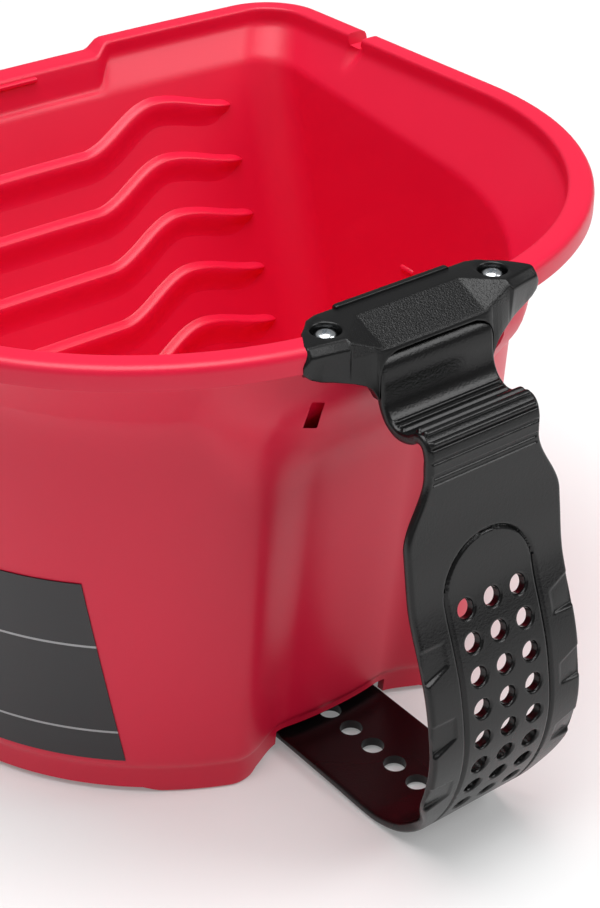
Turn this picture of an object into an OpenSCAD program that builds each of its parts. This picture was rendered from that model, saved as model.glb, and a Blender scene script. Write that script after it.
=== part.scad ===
// Hand-held paint pail with roll-off ribs, a rim bracket and an adjustable hand strap.
// Millimetres. +Z is up from the table, +X points out through the hand strap,
// and the origin lies on the table under the middle of the overall length and width.

/* [Pail rim] */
// Length of the rim, from the rib side to the hand side
rim_len = 201.5; // [195:0.5:210]
// Width of the rim
rim_w = 215; // [210:1:222]
// Straight stretch in the middle of the rim's hand side
rim_flat = 22; // [16:1:28]
// Radius of the rim's two corners on the rib side
rim_corner = 20; // [16:1:24]
// How far the rib side of the rim bows out
rim_bow = 2.5; // [0.5:0.5:4]
// Height of the rim above the table
rim_h = 140.6; // [136:0.2:150]
// Width of the rim's flat top
rim_top = 7; // [6:0.5:9]
// Height of the skirt that hangs from the rim
skirt_h = 6; // [5.5:0.5:8]
// Thickness of the skirt
skirt_t = 1.8; // [1.2:0.1:2.2]
// Rounding of the rim's outer top edge
rim_round = 1.8; // [0.8:0.1:2.4]
// Height of the upright lip inside the rim
lip_h = 5; // [4:0.5:7]
// Width of the dip in the rim above the ribs
dip_w = 69; // [50:1:90]
// Depth of that dip
dip_h = 3.1; // [1:0.1:3.4]
// Width of the notch in the rim on each side
notch_w = 6; // [5:0.5:9]
// Depth of that notch
notch_h = 4.6; // [3:0.2:5]
// Distance of the notches from the rib side of the rim
notch_from_rear = 50; // [45:1:70]

/* [Pail wall] */
// Wall thickness
wall = 2.2; // [1.6:0.1:2.8]
// Angle of the flared band under the rim, from upright
flare_angle = 34; // [28:1:36]
// Height of the crease under the flared band, at mid length
crease_h = 120; // [114:1:123]
// Fall of the crease towards the hand side, per millimetre
crease_fall = 0.075; // [0:0.005:0.1]
// Width of the base
base_w = 178; // [170:1:184]
// Length of the base
base_len = 123.5; // [118:0.5:130]
// How far the base stands back from the rim on the hand side
base_back = 22; // [19:0.5:26]
// Radius of the base's two corners on the rib side
base_corner = 15; // [11:1:20]
// Height of the floor's underside above the table
floor_z = 7.5; // [7.3:0.1:11]
// Thickness of the floor
floor_t = 2.5; // [1.8:0.1:4]
// Rounding between floor and wall
floor_round = 5; // [3:0.5:8]
// Height of the feet
foot_h = 1.5; // [0.8:0.1:2]
// Distance between the two feet on the hand side
foot_apart = 66; // [60:1:72]
// Half width over these feet
foot_reach = 56; // [48:1:62]
// How far the foot ring stands in from the wall
foot_in = 1.2; // [0.6:0.1:1.4]
// Height of the foot ring
foot_ring_h = 8; // [6.5:0.1:9]
// Half width, at the table, of the arched panel that is sunk into the wall behind the strap
panel_half = 36; // [34:1:37]
// How much less that half width is at the panel's top
panel_taper = 9; // [6:1:10]
// Depth of that panel at the table
panel_depth = 12; // [7:0.5:12.5]
// Depth of that panel at its top
panel_step = 1.2; // [0.6:0.1:1.6]
// Height of the panel's top
panel_top = 111; // [100:1:112]
// Width, at the table, over which the panel's edge eases into the wall
panel_ease = 20; // [14:0.5:21]

/* [Roll-off ribs] */
// Number of ribs
rib_count = 6; // [2:1:6]
// Height of the top rib at its middle
rib_z = 110.6; // [104:0.2:113]
// Spacing of the ribs, measured upright
rib_pitch = 16.5; // [12:0.5:17]
// Rise of each rib's two waves
rib_wave = 10; // [4:0.5:12]
// Half length of a rib
rib_half = 78; // [68:1:80]
// Radius of a rib
rib_r = 1.9; // [1.4:0.1:2.4]
// How far a rib stands out of the wall
rib_out = 2.5; // [1.5:0.1:3]

/* [Rim bracket] */
// Width of the bracket
bracket_w = 68; // [66:0.5:80]
// Clearance between the bracket's ends and the rim
bracket_gap = 0.4; // [0.3:0.1:0.8]
// Height of the bracket above its seat on the wall
bracket_h = 9; // [8.5:0.1:10]
// How far the bracket reaches in over the pail
bracket_in = 15.7; // [14.5:0.1:17]
// Distance of the nose in front of the rim
nose_out = 1.4; // [0.8:0.1:2]
// Half width of the sloped thumb rest
rest_half = 15.4; // [12:0.2:17]
// Distance of the screws from the bracket's ends
screw_end = 9; // [8.5:0.1:10]
// Distance of the screws behind the rim's front
screw_back = 8; // [7.8:0.1:8.5]
// Diameter of a screw head
head_d = 4.8; // [4:0.1:5.4]
// Height of a screw head
head_h = 1.8; // [1.2:0.1:2]
// Diameter of a screw's shank
shank_d = 2.6; // [2:0.1:3]
// Length of a screw under its head
screw_len = 10; // [8:0.5:10.5]
// Diameter of the counterbore
bore_d = 7.1; // [6:0.1:7.4]
// Depth of the counterbore
bore_h = 2.4; // [2.2:0.1:3]

/* [Brush magnet] */
// Length of the magnet
magnet_len = 34; // [20:1:36]
// Thickness of the magnet
magnet_t = 3; // [2:0.1:3.2]
// Height of the magnet
magnet_h = 4.4; // [3:0.1:4.6]
// Thickness of the strip in front of the magnet
cover_t = 1.4; // [1:0.1:1.8]
// How far the strip stands above the bracket
cover_up = 0.7; // [0.2:0.1:1]

/* [Hand strap] */
// Thickness of the strap
strap_t = 2.6; // [2.2:0.1:3]
// Reach of the grip in front of the rim
strap_reach = 32.5; // [30:0.5:40]
// Width of the strap's neck and tail
neck_w = 34; // [30:0.5:38]
// Width of the grip
grip_w = 47.4; // [44:0.2:56]
// Drop from the rim to the shoulder, where the grip starts to widen
shoulder_drop = 29; // [28:0.5:34]
// Height over which the grip widens
shoulder_h = 17; // [16:1:26]
// Drop from the rim to the top of the curved grip
grip_drop = 59.6; // [57:0.2:64]
// Diameter of the grip's air holes
air_d = 4.8; // [3:0.1:6]
// Spacing of the air holes across the grip
air_pitch = 8.25; // [7:0.25:9]
// Number of rows of air holes
air_rows = 8; // [3:1:8]
// Distance from the last adjusting hole to the tail's end
tail_margin = 7.3; // [5:0.1:10]
// Diameter of the adjusting holes in the tail
hook_d = 6.2; // [5.4:0.1:7]
// Spacing of the adjusting holes
hook_pitch = 9.1; // [8.5:0.1:9.5]
// Diameter of the peg that they hook on
peg_d = 4.4; // [3.4:0.1:5]
// Clearance around the bending lines and under the peg
flex_gap = 0.4; // [0.35:0.05:0.6]
// Clearance beside and above the tail where it passes under the wall
tail_gap = 1.8; // [1:0.1:3]

/* [Wall label] */
// Thickness of the label
label_t = 0.3; // [0.2:0.05:0.6]
// Height of the label's lower edge above the table
label_z = 12; // [11:1:20]
// Height of the label
label_h = 57; // [40:1:60]

/* [Hidden] */

red = [0.8, 0.03, 0.1];
black = [0.07, 0.07, 0.075];
zinc = [0.75, 0.76, 0.78];
big = 400;
eps = 0.01;

// Landmarks along the length
rim_x = (rim_len - strap_reach) / 2;
rear_x = rim_x - rim_len;
grip_x = rim_x + strap_reach;
mid_x = rim_x - rim_len / 2;
base_x = rim_x - base_back;

// Landmarks in height
lip_z = rim_h - lip_h;
seat_z = rim_h - bracket_h;
floor_top = floor_z + floor_t;
flare_run = tan(flare_angle);
flare_wall = wall / cos(flare_angle);

function lerp(a, b, f) = a + (b - a) * f;
function clamp01(v) = max(0, min(1, v));
function ease(v) = let (c = clamp01(v)) c * c * (3 - 2 * c);

// Outlines of the pail.
// Half an outline runs from the middle of the hand side round to the middle of the rib side.
// Every outline has the same number of points, so that outlines can be skinned one to the next.
front_angles = concat([for (a = [0:3:27]) a], [for (a = [31.5:4.5:90]) a]);
corner_angles = [for (k = [0:7]) 90 + 90 * k / 7];
dip_slope = 5;
dip_share = 2 / (rim_w - 2 * rim_corner);
rear_shares = [0.75, (dip_w / 2 + dip_slope) * dip_share, dip_w / 2 * dip_share, 0];
half_count = 1 + len(front_angles) + len(corner_angles) + len(rear_shares);
side_index = 1 + len(front_angles);

function half_outline(w, flat, front, length, corner, bow) =
    let (
        r = (w - flat) / 2,
        arc_x = front - r,
        rear = front - length + bow,
        corner_y = w / 2 - corner
    )
    concat(
        [[front, 0]],
        [for (a = front_angles) [arc_x + r * cos(a), flat / 2 + r * sin(a)]],
        [for (a = corner_angles) [rear + corner + corner * cos(a), corner_y + corner * sin(a)]],
        [for (s = rear_shares) [rear - bow * (1 - s * s), corner_y * s]]
    );

function rim_half(inset) = half_outline(
    rim_w - 2 * inset,
    rim_flat,
    rim_x - inset,
    rim_len - 2 * inset,
    rim_corner - min(inset, rim_top),
    rim_bow
);
function base_half(inset) = half_outline(
    base_w - 2 * inset,
    2,
    base_x - inset,
    base_len - 2 * inset,
    base_corner - inset / 2,
    0
);

lip_line = rim_half(rim_top);
function crease_z(i) = crease_h - crease_fall * (lip_line[i][0] - mid_x);
function crease_inset(i) = rim_top + flare_run * (lip_z - crease_z(i));
function rim_point(i, inset) = rim_half(inset)[i];
crease_in = [for (i = [0:half_count - 1]) rim_point(i, crease_inset(i))];
crease_out = [for (i = [0:half_count - 1]) rim_point(i, crease_inset(i) - flare_wall)];
base_in = base_half(wall);
base_out = base_half(0);

// Rings of the pail: lists of half outlines with heights
panel_corner = 18;
panel_ease_top = 4;
function panel_inside(y, z) =
    let (
        side = panel_half - panel_taper * clamp01(z / panel_top) - abs(y),
        head = panel_top - z,
        from_corner = panel_corner - norm([panel_corner - side, panel_corner - head])
    )
    side < panel_corner && head < panel_corner ? from_corner : min(side, head);
function sunk(p) =
    p[0] < 0
        ? p
        : let (
            f = clamp01(p[2] / panel_top),
            edge = ease(panel_inside(p[1], p[2]) / lerp(panel_ease, panel_ease_top, f)),
            depth = lerp(panel_depth, panel_step, f)
        )
        [p[0] - depth * edge, p[1], p[2]];
function wall_ring(base, crease, f) = [
    for (i = [0:half_count - 1])
        let (xy = lerp(base[i], crease[i], f))
        sunk([xy[0], xy[1], f * crease_z(i)])
];
function wall_ring_at(base, crease, z, inset) = [
    for (i = [0:half_count - 1])
        let (
            f = z / crease_z(i),
            xy = lerp(base[i], crease[i], f),
            p = sunk([xy[0], xy[1], z]),
            reach = max(norm([p[0] - mid_x, p[1]]), 1)
        )
        [p[0] - (p[0] - mid_x) / reach * inset, p[1] - p[1] / reach * inset, z]
];
function dipped(i, amount) = i >= half_count - 2 ? amount : 0;
function rim_ring(inset, z, dip) =
    let (line = rim_half(inset))
    [for (i = [0:half_count - 1]) [line[i][0], line[i][1], z - dipped(i, dip)]];

// The wall stands out under the bracket to carry its screws
housing_f = 0.35;
housing_in = 5.3;
housing_ease = 16;
housing_ring = [
    for (i = [0:half_count - 1])
        let (
            xy = rim_point(i, lerp(crease_inset(i) - flare_wall, rim_top - wall, housing_f)),
            front = xy[0] > mid_x ? 1 : 0,
            side = front * ease((bracket_w / 2 + housing_ease - abs(xy[1])) / housing_ease)
        )
        concat(lerp(xy, rim_point(i, housing_in), side), lerp(crease_z(i), lip_z, housing_f))
];
lip_break = 0.8;
crease_in_ring = [for (i = [0:half_count - 1]) concat(crease_in[i], crease_z(i))];
crease_out_ring = [for (i = [0:half_count - 1]) concat(crease_out[i], crease_z(i))];
rings = concat(
    [wall_ring_at(base_in, crease_in, floor_z, foot_in)],
    [wall_ring_at(base_in, crease_in, 0, foot_in)],
    [wall_ring_at(base_out, crease_out, 0, foot_in)],
    [wall_ring_at(base_out, crease_out, foot_ring_h, foot_in)],
    [for (f = [0.09, 0.3, 0.55, 0.75, 0.85, 0.91, 0.97]) wall_ring(base_out, crease_out, f)],
    [crease_out_ring],
    [housing_ring],
    [rim_ring(rim_top - wall, lip_z, 0)],
    [rim_ring(rim_top - wall, rim_h - wall, dip_h)],
    [rim_ring(skirt_t, rim_h - wall, dip_h)],
    [rim_ring(skirt_t, rim_h - skirt_h, 0)],
    [rim_ring(0, rim_h - skirt_h, 0)],
    [rim_ring(0, rim_h - rim_round, dip_h - eps)],
    [rim_ring(0.3 * rim_round, rim_h - 0.3 * rim_round, dip_h)],
    [rim_ring(rim_round, rim_h, dip_h)],
    [rim_ring(rim_top - lip_break, rim_h, dip_h)],
    [rim_ring(rim_top, rim_h - lip_break, dip_h)],
    [rim_ring(rim_top, lip_z, 2 * dip_h)],
    [crease_in_ring],
    [for (f = [0.97, 0.91, 0.85, 0.75, 0.55, 0.3, 0.15]) wall_ring(base_in, crease_in, f)],
    [wall_ring_at(base_in, crease_in, floor_top + floor_round / 2, floor_round / 8)],
    [wall_ring_at(base_in, crease_in, floor_top, floor_round)]
);
ring_count = 2 * half_count - 2;
function closed(half) = concat(half, [
    for (k = [half_count - 2:-1:1]) [half[k][0], -half[k][1], half[k][2]]
]);

module pail_skin() {
    last = len(rings) - 1;
    points = [for (ring = rings) each closed(ring)];
    sides = [
        for (k = [0:last - 1], i = [0:ring_count - 1])
            let (j = (i + 1) % ring_count)
            each [
                [k * ring_count + i, (k + 1) * ring_count + j, k * ring_count + j],
                [k * ring_count + i, (k + 1) * ring_count + i, (k + 1) * ring_count + j]
            ]
    ];
    underside = [for (i = [0:ring_count - 1]) i];
    floor_face = [for (i = [ring_count - 1:-1:0]) last * ring_count + i];
    polyhedron(points, concat(sides, [underside, floor_face]), convexity = 10);
}

// A rib is a level middle with a wave on each side, drawn on the wall of the rib side
rear_i = half_count - 1;
rib_level = 0.28;
rib_crest = 0.64;
rib_end_share = 0.45;
rib_shares = [-1, -0.82, -0.64, -0.52, -0.46, -0.4, -0.28, 0.28, 0.4, 0.46, 0.52, 0.64, 0.82, 1];
rib_lean = atan((base_in[rear_i][0] - crease_in[rear_i][0]) / crease_z(rear_i));
rib_root = 1;
function rib_rise(s) =
    let (climb = ease((abs(s) - rib_level) / (rib_crest - rib_level)))
    rib_wave * (climb - (1 - rib_end_share) * ease((abs(s) - rib_crest) / (1 - rib_crest)));
function rib_point(k, s) =
    let (
        y = s * rib_half,
        z = rib_z - rib_pitch * k + rib_rise(s),
        bow = rim_bow * pow(y / (rim_w / 2 - rim_corner), 2),
        x = lerp(base_in[rear_i][0], crease_in[rear_i][0] + bow, z / crease_z(rear_i))
    )
    [x, y, z];

module rib_bead(k, s) {
    translate(rib_point(k, s))
        rotate([0, 90 - rib_lean, 0])
            translate([0, 0, -rib_root])
                cylinder(r1 = rib_r, r2 = rib_r / 2, h = rib_root + rib_out, $fn = 8);
}

module ribs() {
    for (k = [0:rib_count - 1], n = [0:len(rib_shares) - 2])
        hull() {
            rib_bead(k, rib_shares[n]);
            rib_bead(k, rib_shares[n + 1]);
        }
}

// The rim is solid around each notch
notch_x = rear_x + notch_from_rear;
notch_wall = 3;

module notch_blocks() {
    for (side = [-1, 1])
        translate([
            notch_x - notch_w / 2 - notch_wall,
            side * (rim_w / 2 - rim_top / 2) - (rim_top - wall) / 2,
            rim_h - skirt_h + eps
        ])
            cube([notch_w + 2 * notch_wall, rim_top - wall, skirt_h - wall / 2]);
}

module notches() {
    for (side = [-1, 1])
        translate([notch_x - notch_w / 2, side * rim_w / 2 - 2 * rim_top, rim_h - notch_h])
            cube([notch_w, 4 * rim_top, big]);
}

// Slots in the housing under the bracket's ends
slot_drop = 14;
slot_z = seat_z - slot_drop;
slot_h = 6;
slot_w = 3.8;
slot_lean = 3;
slot_depth = 5;
slot_y = 26;

module wall_slots() {
    skin_x = housing_ring[3][0];
    for (side = [-1, 1])
        translate([skin_x - slot_depth, 0, 0])
            rotate([90, 0, 90])
                linear_extrude(big)
                    polygon([
                        [side * (slot_y + slot_lean), slot_z],
                        [side * (slot_y + slot_lean + slot_w), slot_z],
                        [side * (slot_y + slot_w), slot_z + slot_h],
                        [side * slot_y, slot_z + slot_h]
                    ]);
}

module foot_gaps() {
    base_mid = base_x - base_w / 2;
    foot_x = base_mid + sqrt(pow(base_w / 2, 2) - pow(foot_reach, 2));
    rear_foot = 30;
    side_x = base_x - base_len + rear_foot;
    translate([side_x, -big / 2, -eps]) cube([foot_x - side_x, big, foot_h + eps]);
    translate([base_x - base_len - big, rear_foot - base_w / 2, -eps])
        cube([big + rear_foot / 2, base_w - 2 * rear_foot, foot_h + eps]);
    translate([foot_x - eps, -foot_apart / 2, -eps]) cube([big, foot_apart, foot_h + eps]);
}

// Screws stand at the same places in the shell, the bracket and on their own
screw_pitch = bracket_w - 2 * screw_end;
screw_x = rim_x - screw_back;
screw_seat = rim_h - bore_h;
thread_gap = 0.05;

module at_screw(side) {
    translate([screw_x, side * screw_pitch / 2, screw_seat]) children();
}

module pail_shell() {
    open_half = neck_w / 2 + tail_gap;
    open_z = tail_top + tail_gap;
    color(red)
        difference() {
            union() {
                pail_skin();
                ribs();
                notch_blocks();
                translate([peg_x, 0, peg_z]) cylinder(d = peg_d, h = floor_z - peg_z + eps, $fn = 24);
            }
            notches();
            wall_slots();
            foot_gaps();
            translate([base_x - base_w / 2, -open_half, -eps]) cube([big, 2 * open_half, open_z]);
            translate([mid_x, -bracket_w / 2 - bracket_gap, seat_z])
                cube([big, bracket_w + 2 * bracket_gap, big]);
            for (side = [-1, 1])
                at_screw(side)
                    translate([0, 0, -screw_len - 1])
                        cylinder(d = shank_d + 2 * thread_gap, h = big, $fn = 24);
        }
}

// Strap profile, seen from the side, through points of its outer face.
// The neck is measured from the rim's front and top, the grip and heel from the grip's
// outermost point and as shares of the grip's height, and the tail from the rim's front and the table.
neck_points = [
    for (p = [
        [-5.5, -6.2], [-2.6, -6], [0, -6.6], [1.6, -8.4], [2.3, -11.4], [2.6, -14.4], [3.4, -17.6],
        [5.1, -20.2], [7.8, -21.6], [10.8, -21.2], [13.4, -19.7], [16, -19.6], [18.1, -21.3],
        [19.1, -24.4], [19.2, -28.2], [20.1, -40.6], [21.4, -50.6]
    ]) [rim_x + p[0], rim_h + p[1]]
];
grip_h = rim_h - grip_drop;
grip_points = [
    for (p = [
        [-9.8, 1], [-8.3, 0.932], [-5.3, 0.833], [-2.6, 0.731], [-0.9, 0.626], [0, 0.519],
        [-0.8, 0.416], [-2.9, 0.32], [-6.5, 0.222], [-12, 0.121], [-19, 0.049]
    ]) [grip_x + p[0], grip_h * p[1]]
];
hook_x = rim_x + 0.4;
hook_count = 7;
tail_points = [
    for (p = [[5.5, 1], [-1.5, 0.4], [-13.5, 0.8], [-35.5, 1.2]]) [rim_x + p[0], p[1]],
    [hook_x - (hook_count - 1) * hook_pitch - tail_margin, 1.6]
];
strap_points = concat(neck_points, grip_points, tail_points);
neck_end = 9;
grip_end = len(neck_points) + len(grip_points);
tail_end = len(strap_points) - 1;
steps = 6;

// A smooth curve through the points: t counts points
function strap_at(i) = strap_points[max(0, min(tail_end, i))];
function strap_curve(t) =
    let (
        i = min(floor(t), tail_end - 1),
        u = t - i,
        a = strap_at(i - 1),
        b = strap_at(i),
        c = strap_at(i + 1),
        d = strap_at(i + 2)
    )
    0.5 * (2 * b + (c - a) * u + (2 * a - 5 * b + 4 * c - d) * u * u
        + (3 * b - a - 3 * c + d) * u * u * u);
function strap_normal(t) =
    let (d = strap_curve(min(t + 0.05, tail_end)) - strap_curve(max(t - 0.05, 0)))
    [-d[1], d[0]] / norm(d);
function strap_inside(t, depth) = strap_curve(t) - strap_normal(t) * depth;
function strap_angle(t) = let (n = strap_normal(t)) atan2(n[1], n[0]);

// The strap bends along two lines in the middle of its thickness
neck_flex = strap_inside(neck_end, strap_t / 2);
heel_flex = strap_inside(grip_end, strap_t / 2);
tail_top = max([for (p = tail_points) p[1]]) + strap_t;
peg_hole = 5;
peg_x = hook_x - peg_hole * hook_pitch;
peg_z = tail_top + flex_gap;

module along_y(width) {
    translate([0, width / 2, 0]) rotate([90, 0, 0]) linear_extrude(width) children();
}

module strap_band(from, to, width) {
    turns = [for (k = [from * steps:to * steps]) k / steps];
    back = [for (k = [to * steps:-1:from * steps]) k / steps];
    along_y(width)
        polygon(concat(
            [for (t = turns) strap_curve(t)],
            [for (t = back) strap_inside(t, strap_t)]
        ));
}

module flex_bar(centre, d, width) {
    along_y(width) translate(centre) circle(d = d, $fn = 32);
}

module flex_rib(t, r) {
    along_y(neck_w - 1) translate(strap_inside(t, r / 3)) circle(r = r, $fn = 24);
}

// Width of the grip seen from the front
module grip_outline() {
    shoulder_z = rim_h - shoulder_drop;
    wide_z = shoulder_z - shoulder_h;
    narrow_z = 0.37 * grip_h;
    heel_z = 0.1 * grip_h;
    side = [
        for (k = [0:8]) [lerp(neck_w, grip_w, ease(k / 8)) / 2, lerp(shoulder_z, wide_z, k / 8)],
        for (k = [0:8]) [lerp(grip_w, neck_w, ease(k / 8)) / 2, lerp(narrow_z, heel_z, k / 8)]
    ];
    outline = concat([[neck_w / 2, big]], side, [[neck_w / 2, -big]]);
    rotate([90, 0, 90])
        linear_extrude(big)
            polygon(concat(outline, [
                for (k = [len(outline) - 1:-1:0]) [-outline[k][0], outline[k][1]]
            ]));
}

// The magnet lies in a pocket behind the strip on the bracket's inner edge
magnet_gap = 0.1;
cover_roof = 1.1;
magnet_x = rim_x - bracket_in + cover_t;
magnet_z = rim_h - cover_roof - magnet_gap - magnet_h;

module rim_bracket() {
    top = rim_h;
    in_x = rim_x - bracket_in;
    end_y = bracket_w / 2;
    rest_x = rim_x - 9.6;
    nose_x = rim_x + nose_out;
    nose_z = rim_h - 4.3;
    lip = rim_h - 5.6;
    ear_x = rim_x - 2.7;
    ear_y = rest_half + 8;
    over_z = rim_h - 6.4;
    seat_x = rim_x - 9.4;
    bevel = 1.6;
    pocket_gap = 0.4;
    shank_gap = 0.3;
    foot_y = neck_w / 2 + pocket_gap;
    foot_z = seat_z + eps;
    color(black)
        difference() {
            union() {
                along_y(2 * rest_half)
                    polygon([
                        [in_x, over_z], [in_x, top], [rest_x, top], [nose_x - 0.5, nose_z],
                        [nose_x, lip], [seat_x, lip], [seat_x, over_z]
                    ]);
                for (side = [-1, 1]) {
                    // Ear with the screw, from the thumb rest to the rim
                    hull()
                        for (p = [
                            [in_x, rest_half, top], [in_x, end_y - 11, top], [in_x + 2.4, end_y - 5, top],
                            [in_x + 6, end_y - 1.7, top], [rim_x - 5.3, end_y - 0.9, top],
                            [ear_x, ear_y, top], [rest_x, rest_half, top], [nose_x - 0.5, rest_half, nose_z],
                            [in_x, rest_half, over_z], [in_x, end_y - 11, over_z],
                            [in_x + 6, end_y - 1.7, over_z], [rim_x - 4.5, end_y, top - bevel],
                            [rim_x - 4.5, end_y, over_z], [rim_x + 0.2, ear_y, over_z],
                            [nose_x, rest_half, over_z]
                        ])
                            translate([p[0], side * p[1], p[2]]) cube(eps, center = true);
                    // Foot that stands on the housing beside the strap
                    hull()
                        for (p = [
                            [seat_x, foot_y, over_z], [seat_x, end_y, over_z],
                            [rim_x - 4.5, end_y, over_z], [rim_x + 0.2, ear_y, over_z],
                            [nose_x - 0.6, foot_y, over_z],
                            [seat_x, foot_y, foot_z], [seat_x, end_y, foot_z],
                            [rim_x - 4.8, end_y, foot_z], [rim_x - 0.4, ear_y, foot_z],
                            [nose_x - 0.8, foot_y, foot_z]
                        ])
                            translate([p[0], side * p[1], p[2]]) cube(eps, center = true);
                }
            }
            translate([in_x - eps, -magnet_len / 2 - magnet_gap, magnet_z - magnet_gap])
                cube([cover_t + magnet_t + 2 * magnet_gap, magnet_len + 2 * magnet_gap, big]);
            translate([seat_x - eps, -neck_w / 2 - pocket_gap, lip - big])
                cube([big, neck_w + 2 * pocket_gap, big]);
            for (side = [-1, 1])
                at_screw(side) {
                    cylinder(d = bore_d, h = big);
                    translate([0, 0, -big]) cylinder(d = shank_d + 2 * shank_gap, h = big + eps);
                }
        }
}

module brush_magnet() {
    color(zinc)
        translate([magnet_x + magnet_gap, -magnet_len / 2, magnet_z])
            cube([magnet_t, magnet_len, magnet_h]);
}

module magnet_cover() {
    roof = cover_t + magnet_t + magnet_gap;
    color(black)
        translate([rim_x - bracket_in, 0, 0])
            along_y(magnet_len)
                polygon([
                    [0, magnet_z], [0, rim_h + cover_up], [cover_t, rim_h + cover_up],
                    [cover_t, rim_h], [roof, rim_h], [roof, rim_h - cover_roof],
                    [cover_t, rim_h - cover_roof], [cover_t, magnet_z]
                ]);
}

module screw(side) {
    slot = [0.8, head_d * 0.62, head_h];
    color(zinc)
        at_screw(side)
            difference() {
                union() {
                    intersection() {
                        cylinder(d = head_d, h = head_h);
                        translate([0, 0, head_h - head_d]) sphere(r = head_d);
                    }
                    translate([0, 0, -screw_len]) cylinder(d = shank_d, h = screw_len + eps);
                }
                for (turn = [20, 110])
                    rotate(turn) translate([0, 0, head_h]) cube(slot, center = true);
            }
}

module screw_near() {
    screw(-1);
}

module screw_far() {
    screw(1);
}

module strap_neck() {
    color(black)
        difference() {
            union() {
                strap_band(0, neck_end, neck_w);
                for (t = [7.4, 7.8, 8.2]) flex_rib(t, 0.5);
            }
            flex_bar(neck_flex, strap_t + 2 * flex_gap, big);
        }
}

module strap_grip() {
    air_from = len(neck_points) + 1;
    color(black)
        difference() {
            intersection() {
                union() {
                    strap_band(neck_end, grip_end, grip_w);
                    flex_bar(neck_flex, strap_t, grip_w);
                    for (t = [10.4, 11.3, 12.1, 12.9]) flex_rib(t, 0.9);
                }
                grip_outline();
            }
            flex_bar(heel_flex, strap_t + 2 * flex_gap, big);
            for (row = [0:air_rows - 1], column = [-1, 0, 1])
                let (t = air_from + row, p = strap_curve(t))
                translate([p[0], column * air_pitch, p[1]])
                    rotate([0, 90 - strap_angle(t), 0])
                        cylinder(d = air_d, h = 4 * strap_t, center = true);
        }
}

module strap_tail() {
    color(black)
        difference() {
            union() {
                strap_band(grip_end, tail_end, neck_w);
                flex_bar(heel_flex, strap_t, neck_w);
            }
            for (k = [0:hook_count - 1])
                translate([hook_x - k * hook_pitch, 0, 0])
                    cylinder(d = hook_d, h = 8 * strap_t, center = true);
        }
}

// The label follows the near wall from a slanted edge near the hand side to the rib side
label_low_from = 13.5;
label_high_from = 14.75;
label_columns = 14;
label_gap = 0.3;

function wall_xy(u, z) =
    let (
        i = floor(u),
        near = lerp(base_out[i], crease_out[i], z / crease_z(i)),
        next = lerp(base_out[i + 1], crease_out[i + 1], z / crease_z(i + 1))
    )
    lerp(near, next, u - i);
function label_point(k, high, out) =
    let (
        from = high ? label_high_from : label_low_from,
        u = lerp(from, side_index, k / label_columns),
        z = high ? label_z + label_h : label_z,
        xy = wall_xy(u, z),
        d = wall_xy(u + 0.4, z) - wall_xy(u - 0.4, z),
        across = d / norm(d)
    )
    [xy[0] + across[1] * out, -(xy[1] - across[0] * out), z];

module wall_label() {
    points = [
        for (k = [0:label_columns])
            each [
                label_point(k, false, label_gap),
                label_point(k, true, label_gap),
                label_point(k, true, label_gap + label_t),
                label_point(k, false, label_gap + label_t)
            ]
    ];
    sides = [
        for (k = [0:label_columns - 1], c = [0:3])
            let (n = (c + 1) % 4)
            each [
                [4 * k + c, 4 * k + n, 4 * k + 4 + n],
                [4 * k + c, 4 * k + 4 + n, 4 * k + 4 + c]
            ]
    ];
    color([0.14, 0.14, 0.15])
        polyhedron(points, concat(sides, [[3, 2, 1, 0], [for (c = [0:3]) 4 * label_columns + c]]));
}

pail_shell();
rim_bracket();
magnet_cover();
brush_magnet();
screw_near();
screw_far();
strap_neck();
strap_grip();
strap_tail();
wall_label();
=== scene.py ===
# %% [markdown]
# # A hand-held paint pail
# The object is a red moulded paint pail that is held in one hand. Ribs on its rear wall take the paint off
# a roller, a black bracket is screwed to the rim, and a perforated black strap goes round the hand.
# The solid model is loaded first and stays fixed. Everything made here is laid over it, in the same frame.

# %% Load the frame
import math

import bpy
import numpy as np
from mathutils import Matrix, Vector


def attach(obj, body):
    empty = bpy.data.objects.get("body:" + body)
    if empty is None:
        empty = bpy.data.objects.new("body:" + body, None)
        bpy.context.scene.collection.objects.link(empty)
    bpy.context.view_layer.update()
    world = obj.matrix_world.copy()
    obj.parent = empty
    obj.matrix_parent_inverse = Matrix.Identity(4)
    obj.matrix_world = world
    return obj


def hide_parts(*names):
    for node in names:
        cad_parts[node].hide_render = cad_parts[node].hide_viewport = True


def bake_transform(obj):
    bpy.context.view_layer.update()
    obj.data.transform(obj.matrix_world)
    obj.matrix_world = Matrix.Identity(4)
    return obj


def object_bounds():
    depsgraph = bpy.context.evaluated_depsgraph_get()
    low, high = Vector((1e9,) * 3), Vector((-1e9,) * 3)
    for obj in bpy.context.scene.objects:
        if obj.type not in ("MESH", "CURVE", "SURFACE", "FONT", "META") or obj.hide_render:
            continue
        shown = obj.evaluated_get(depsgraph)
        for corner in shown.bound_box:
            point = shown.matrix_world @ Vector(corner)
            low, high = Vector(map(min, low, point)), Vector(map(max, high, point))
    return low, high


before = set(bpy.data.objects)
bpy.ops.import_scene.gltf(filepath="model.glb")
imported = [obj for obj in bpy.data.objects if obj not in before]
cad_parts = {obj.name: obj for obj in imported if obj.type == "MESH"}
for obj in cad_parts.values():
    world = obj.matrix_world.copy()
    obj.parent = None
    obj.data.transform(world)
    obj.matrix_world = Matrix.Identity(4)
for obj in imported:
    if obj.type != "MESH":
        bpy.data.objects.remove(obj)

cad_low, cad_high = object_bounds()
MM = 0.001

# %% [markdown]
# ## Camera
# The picture looks down on the hand side from the left. A camera can be aimed with a constraint or with its
# own matrix. The matrix is used here, because its three axes come straight from the two viewing angles.

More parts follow.
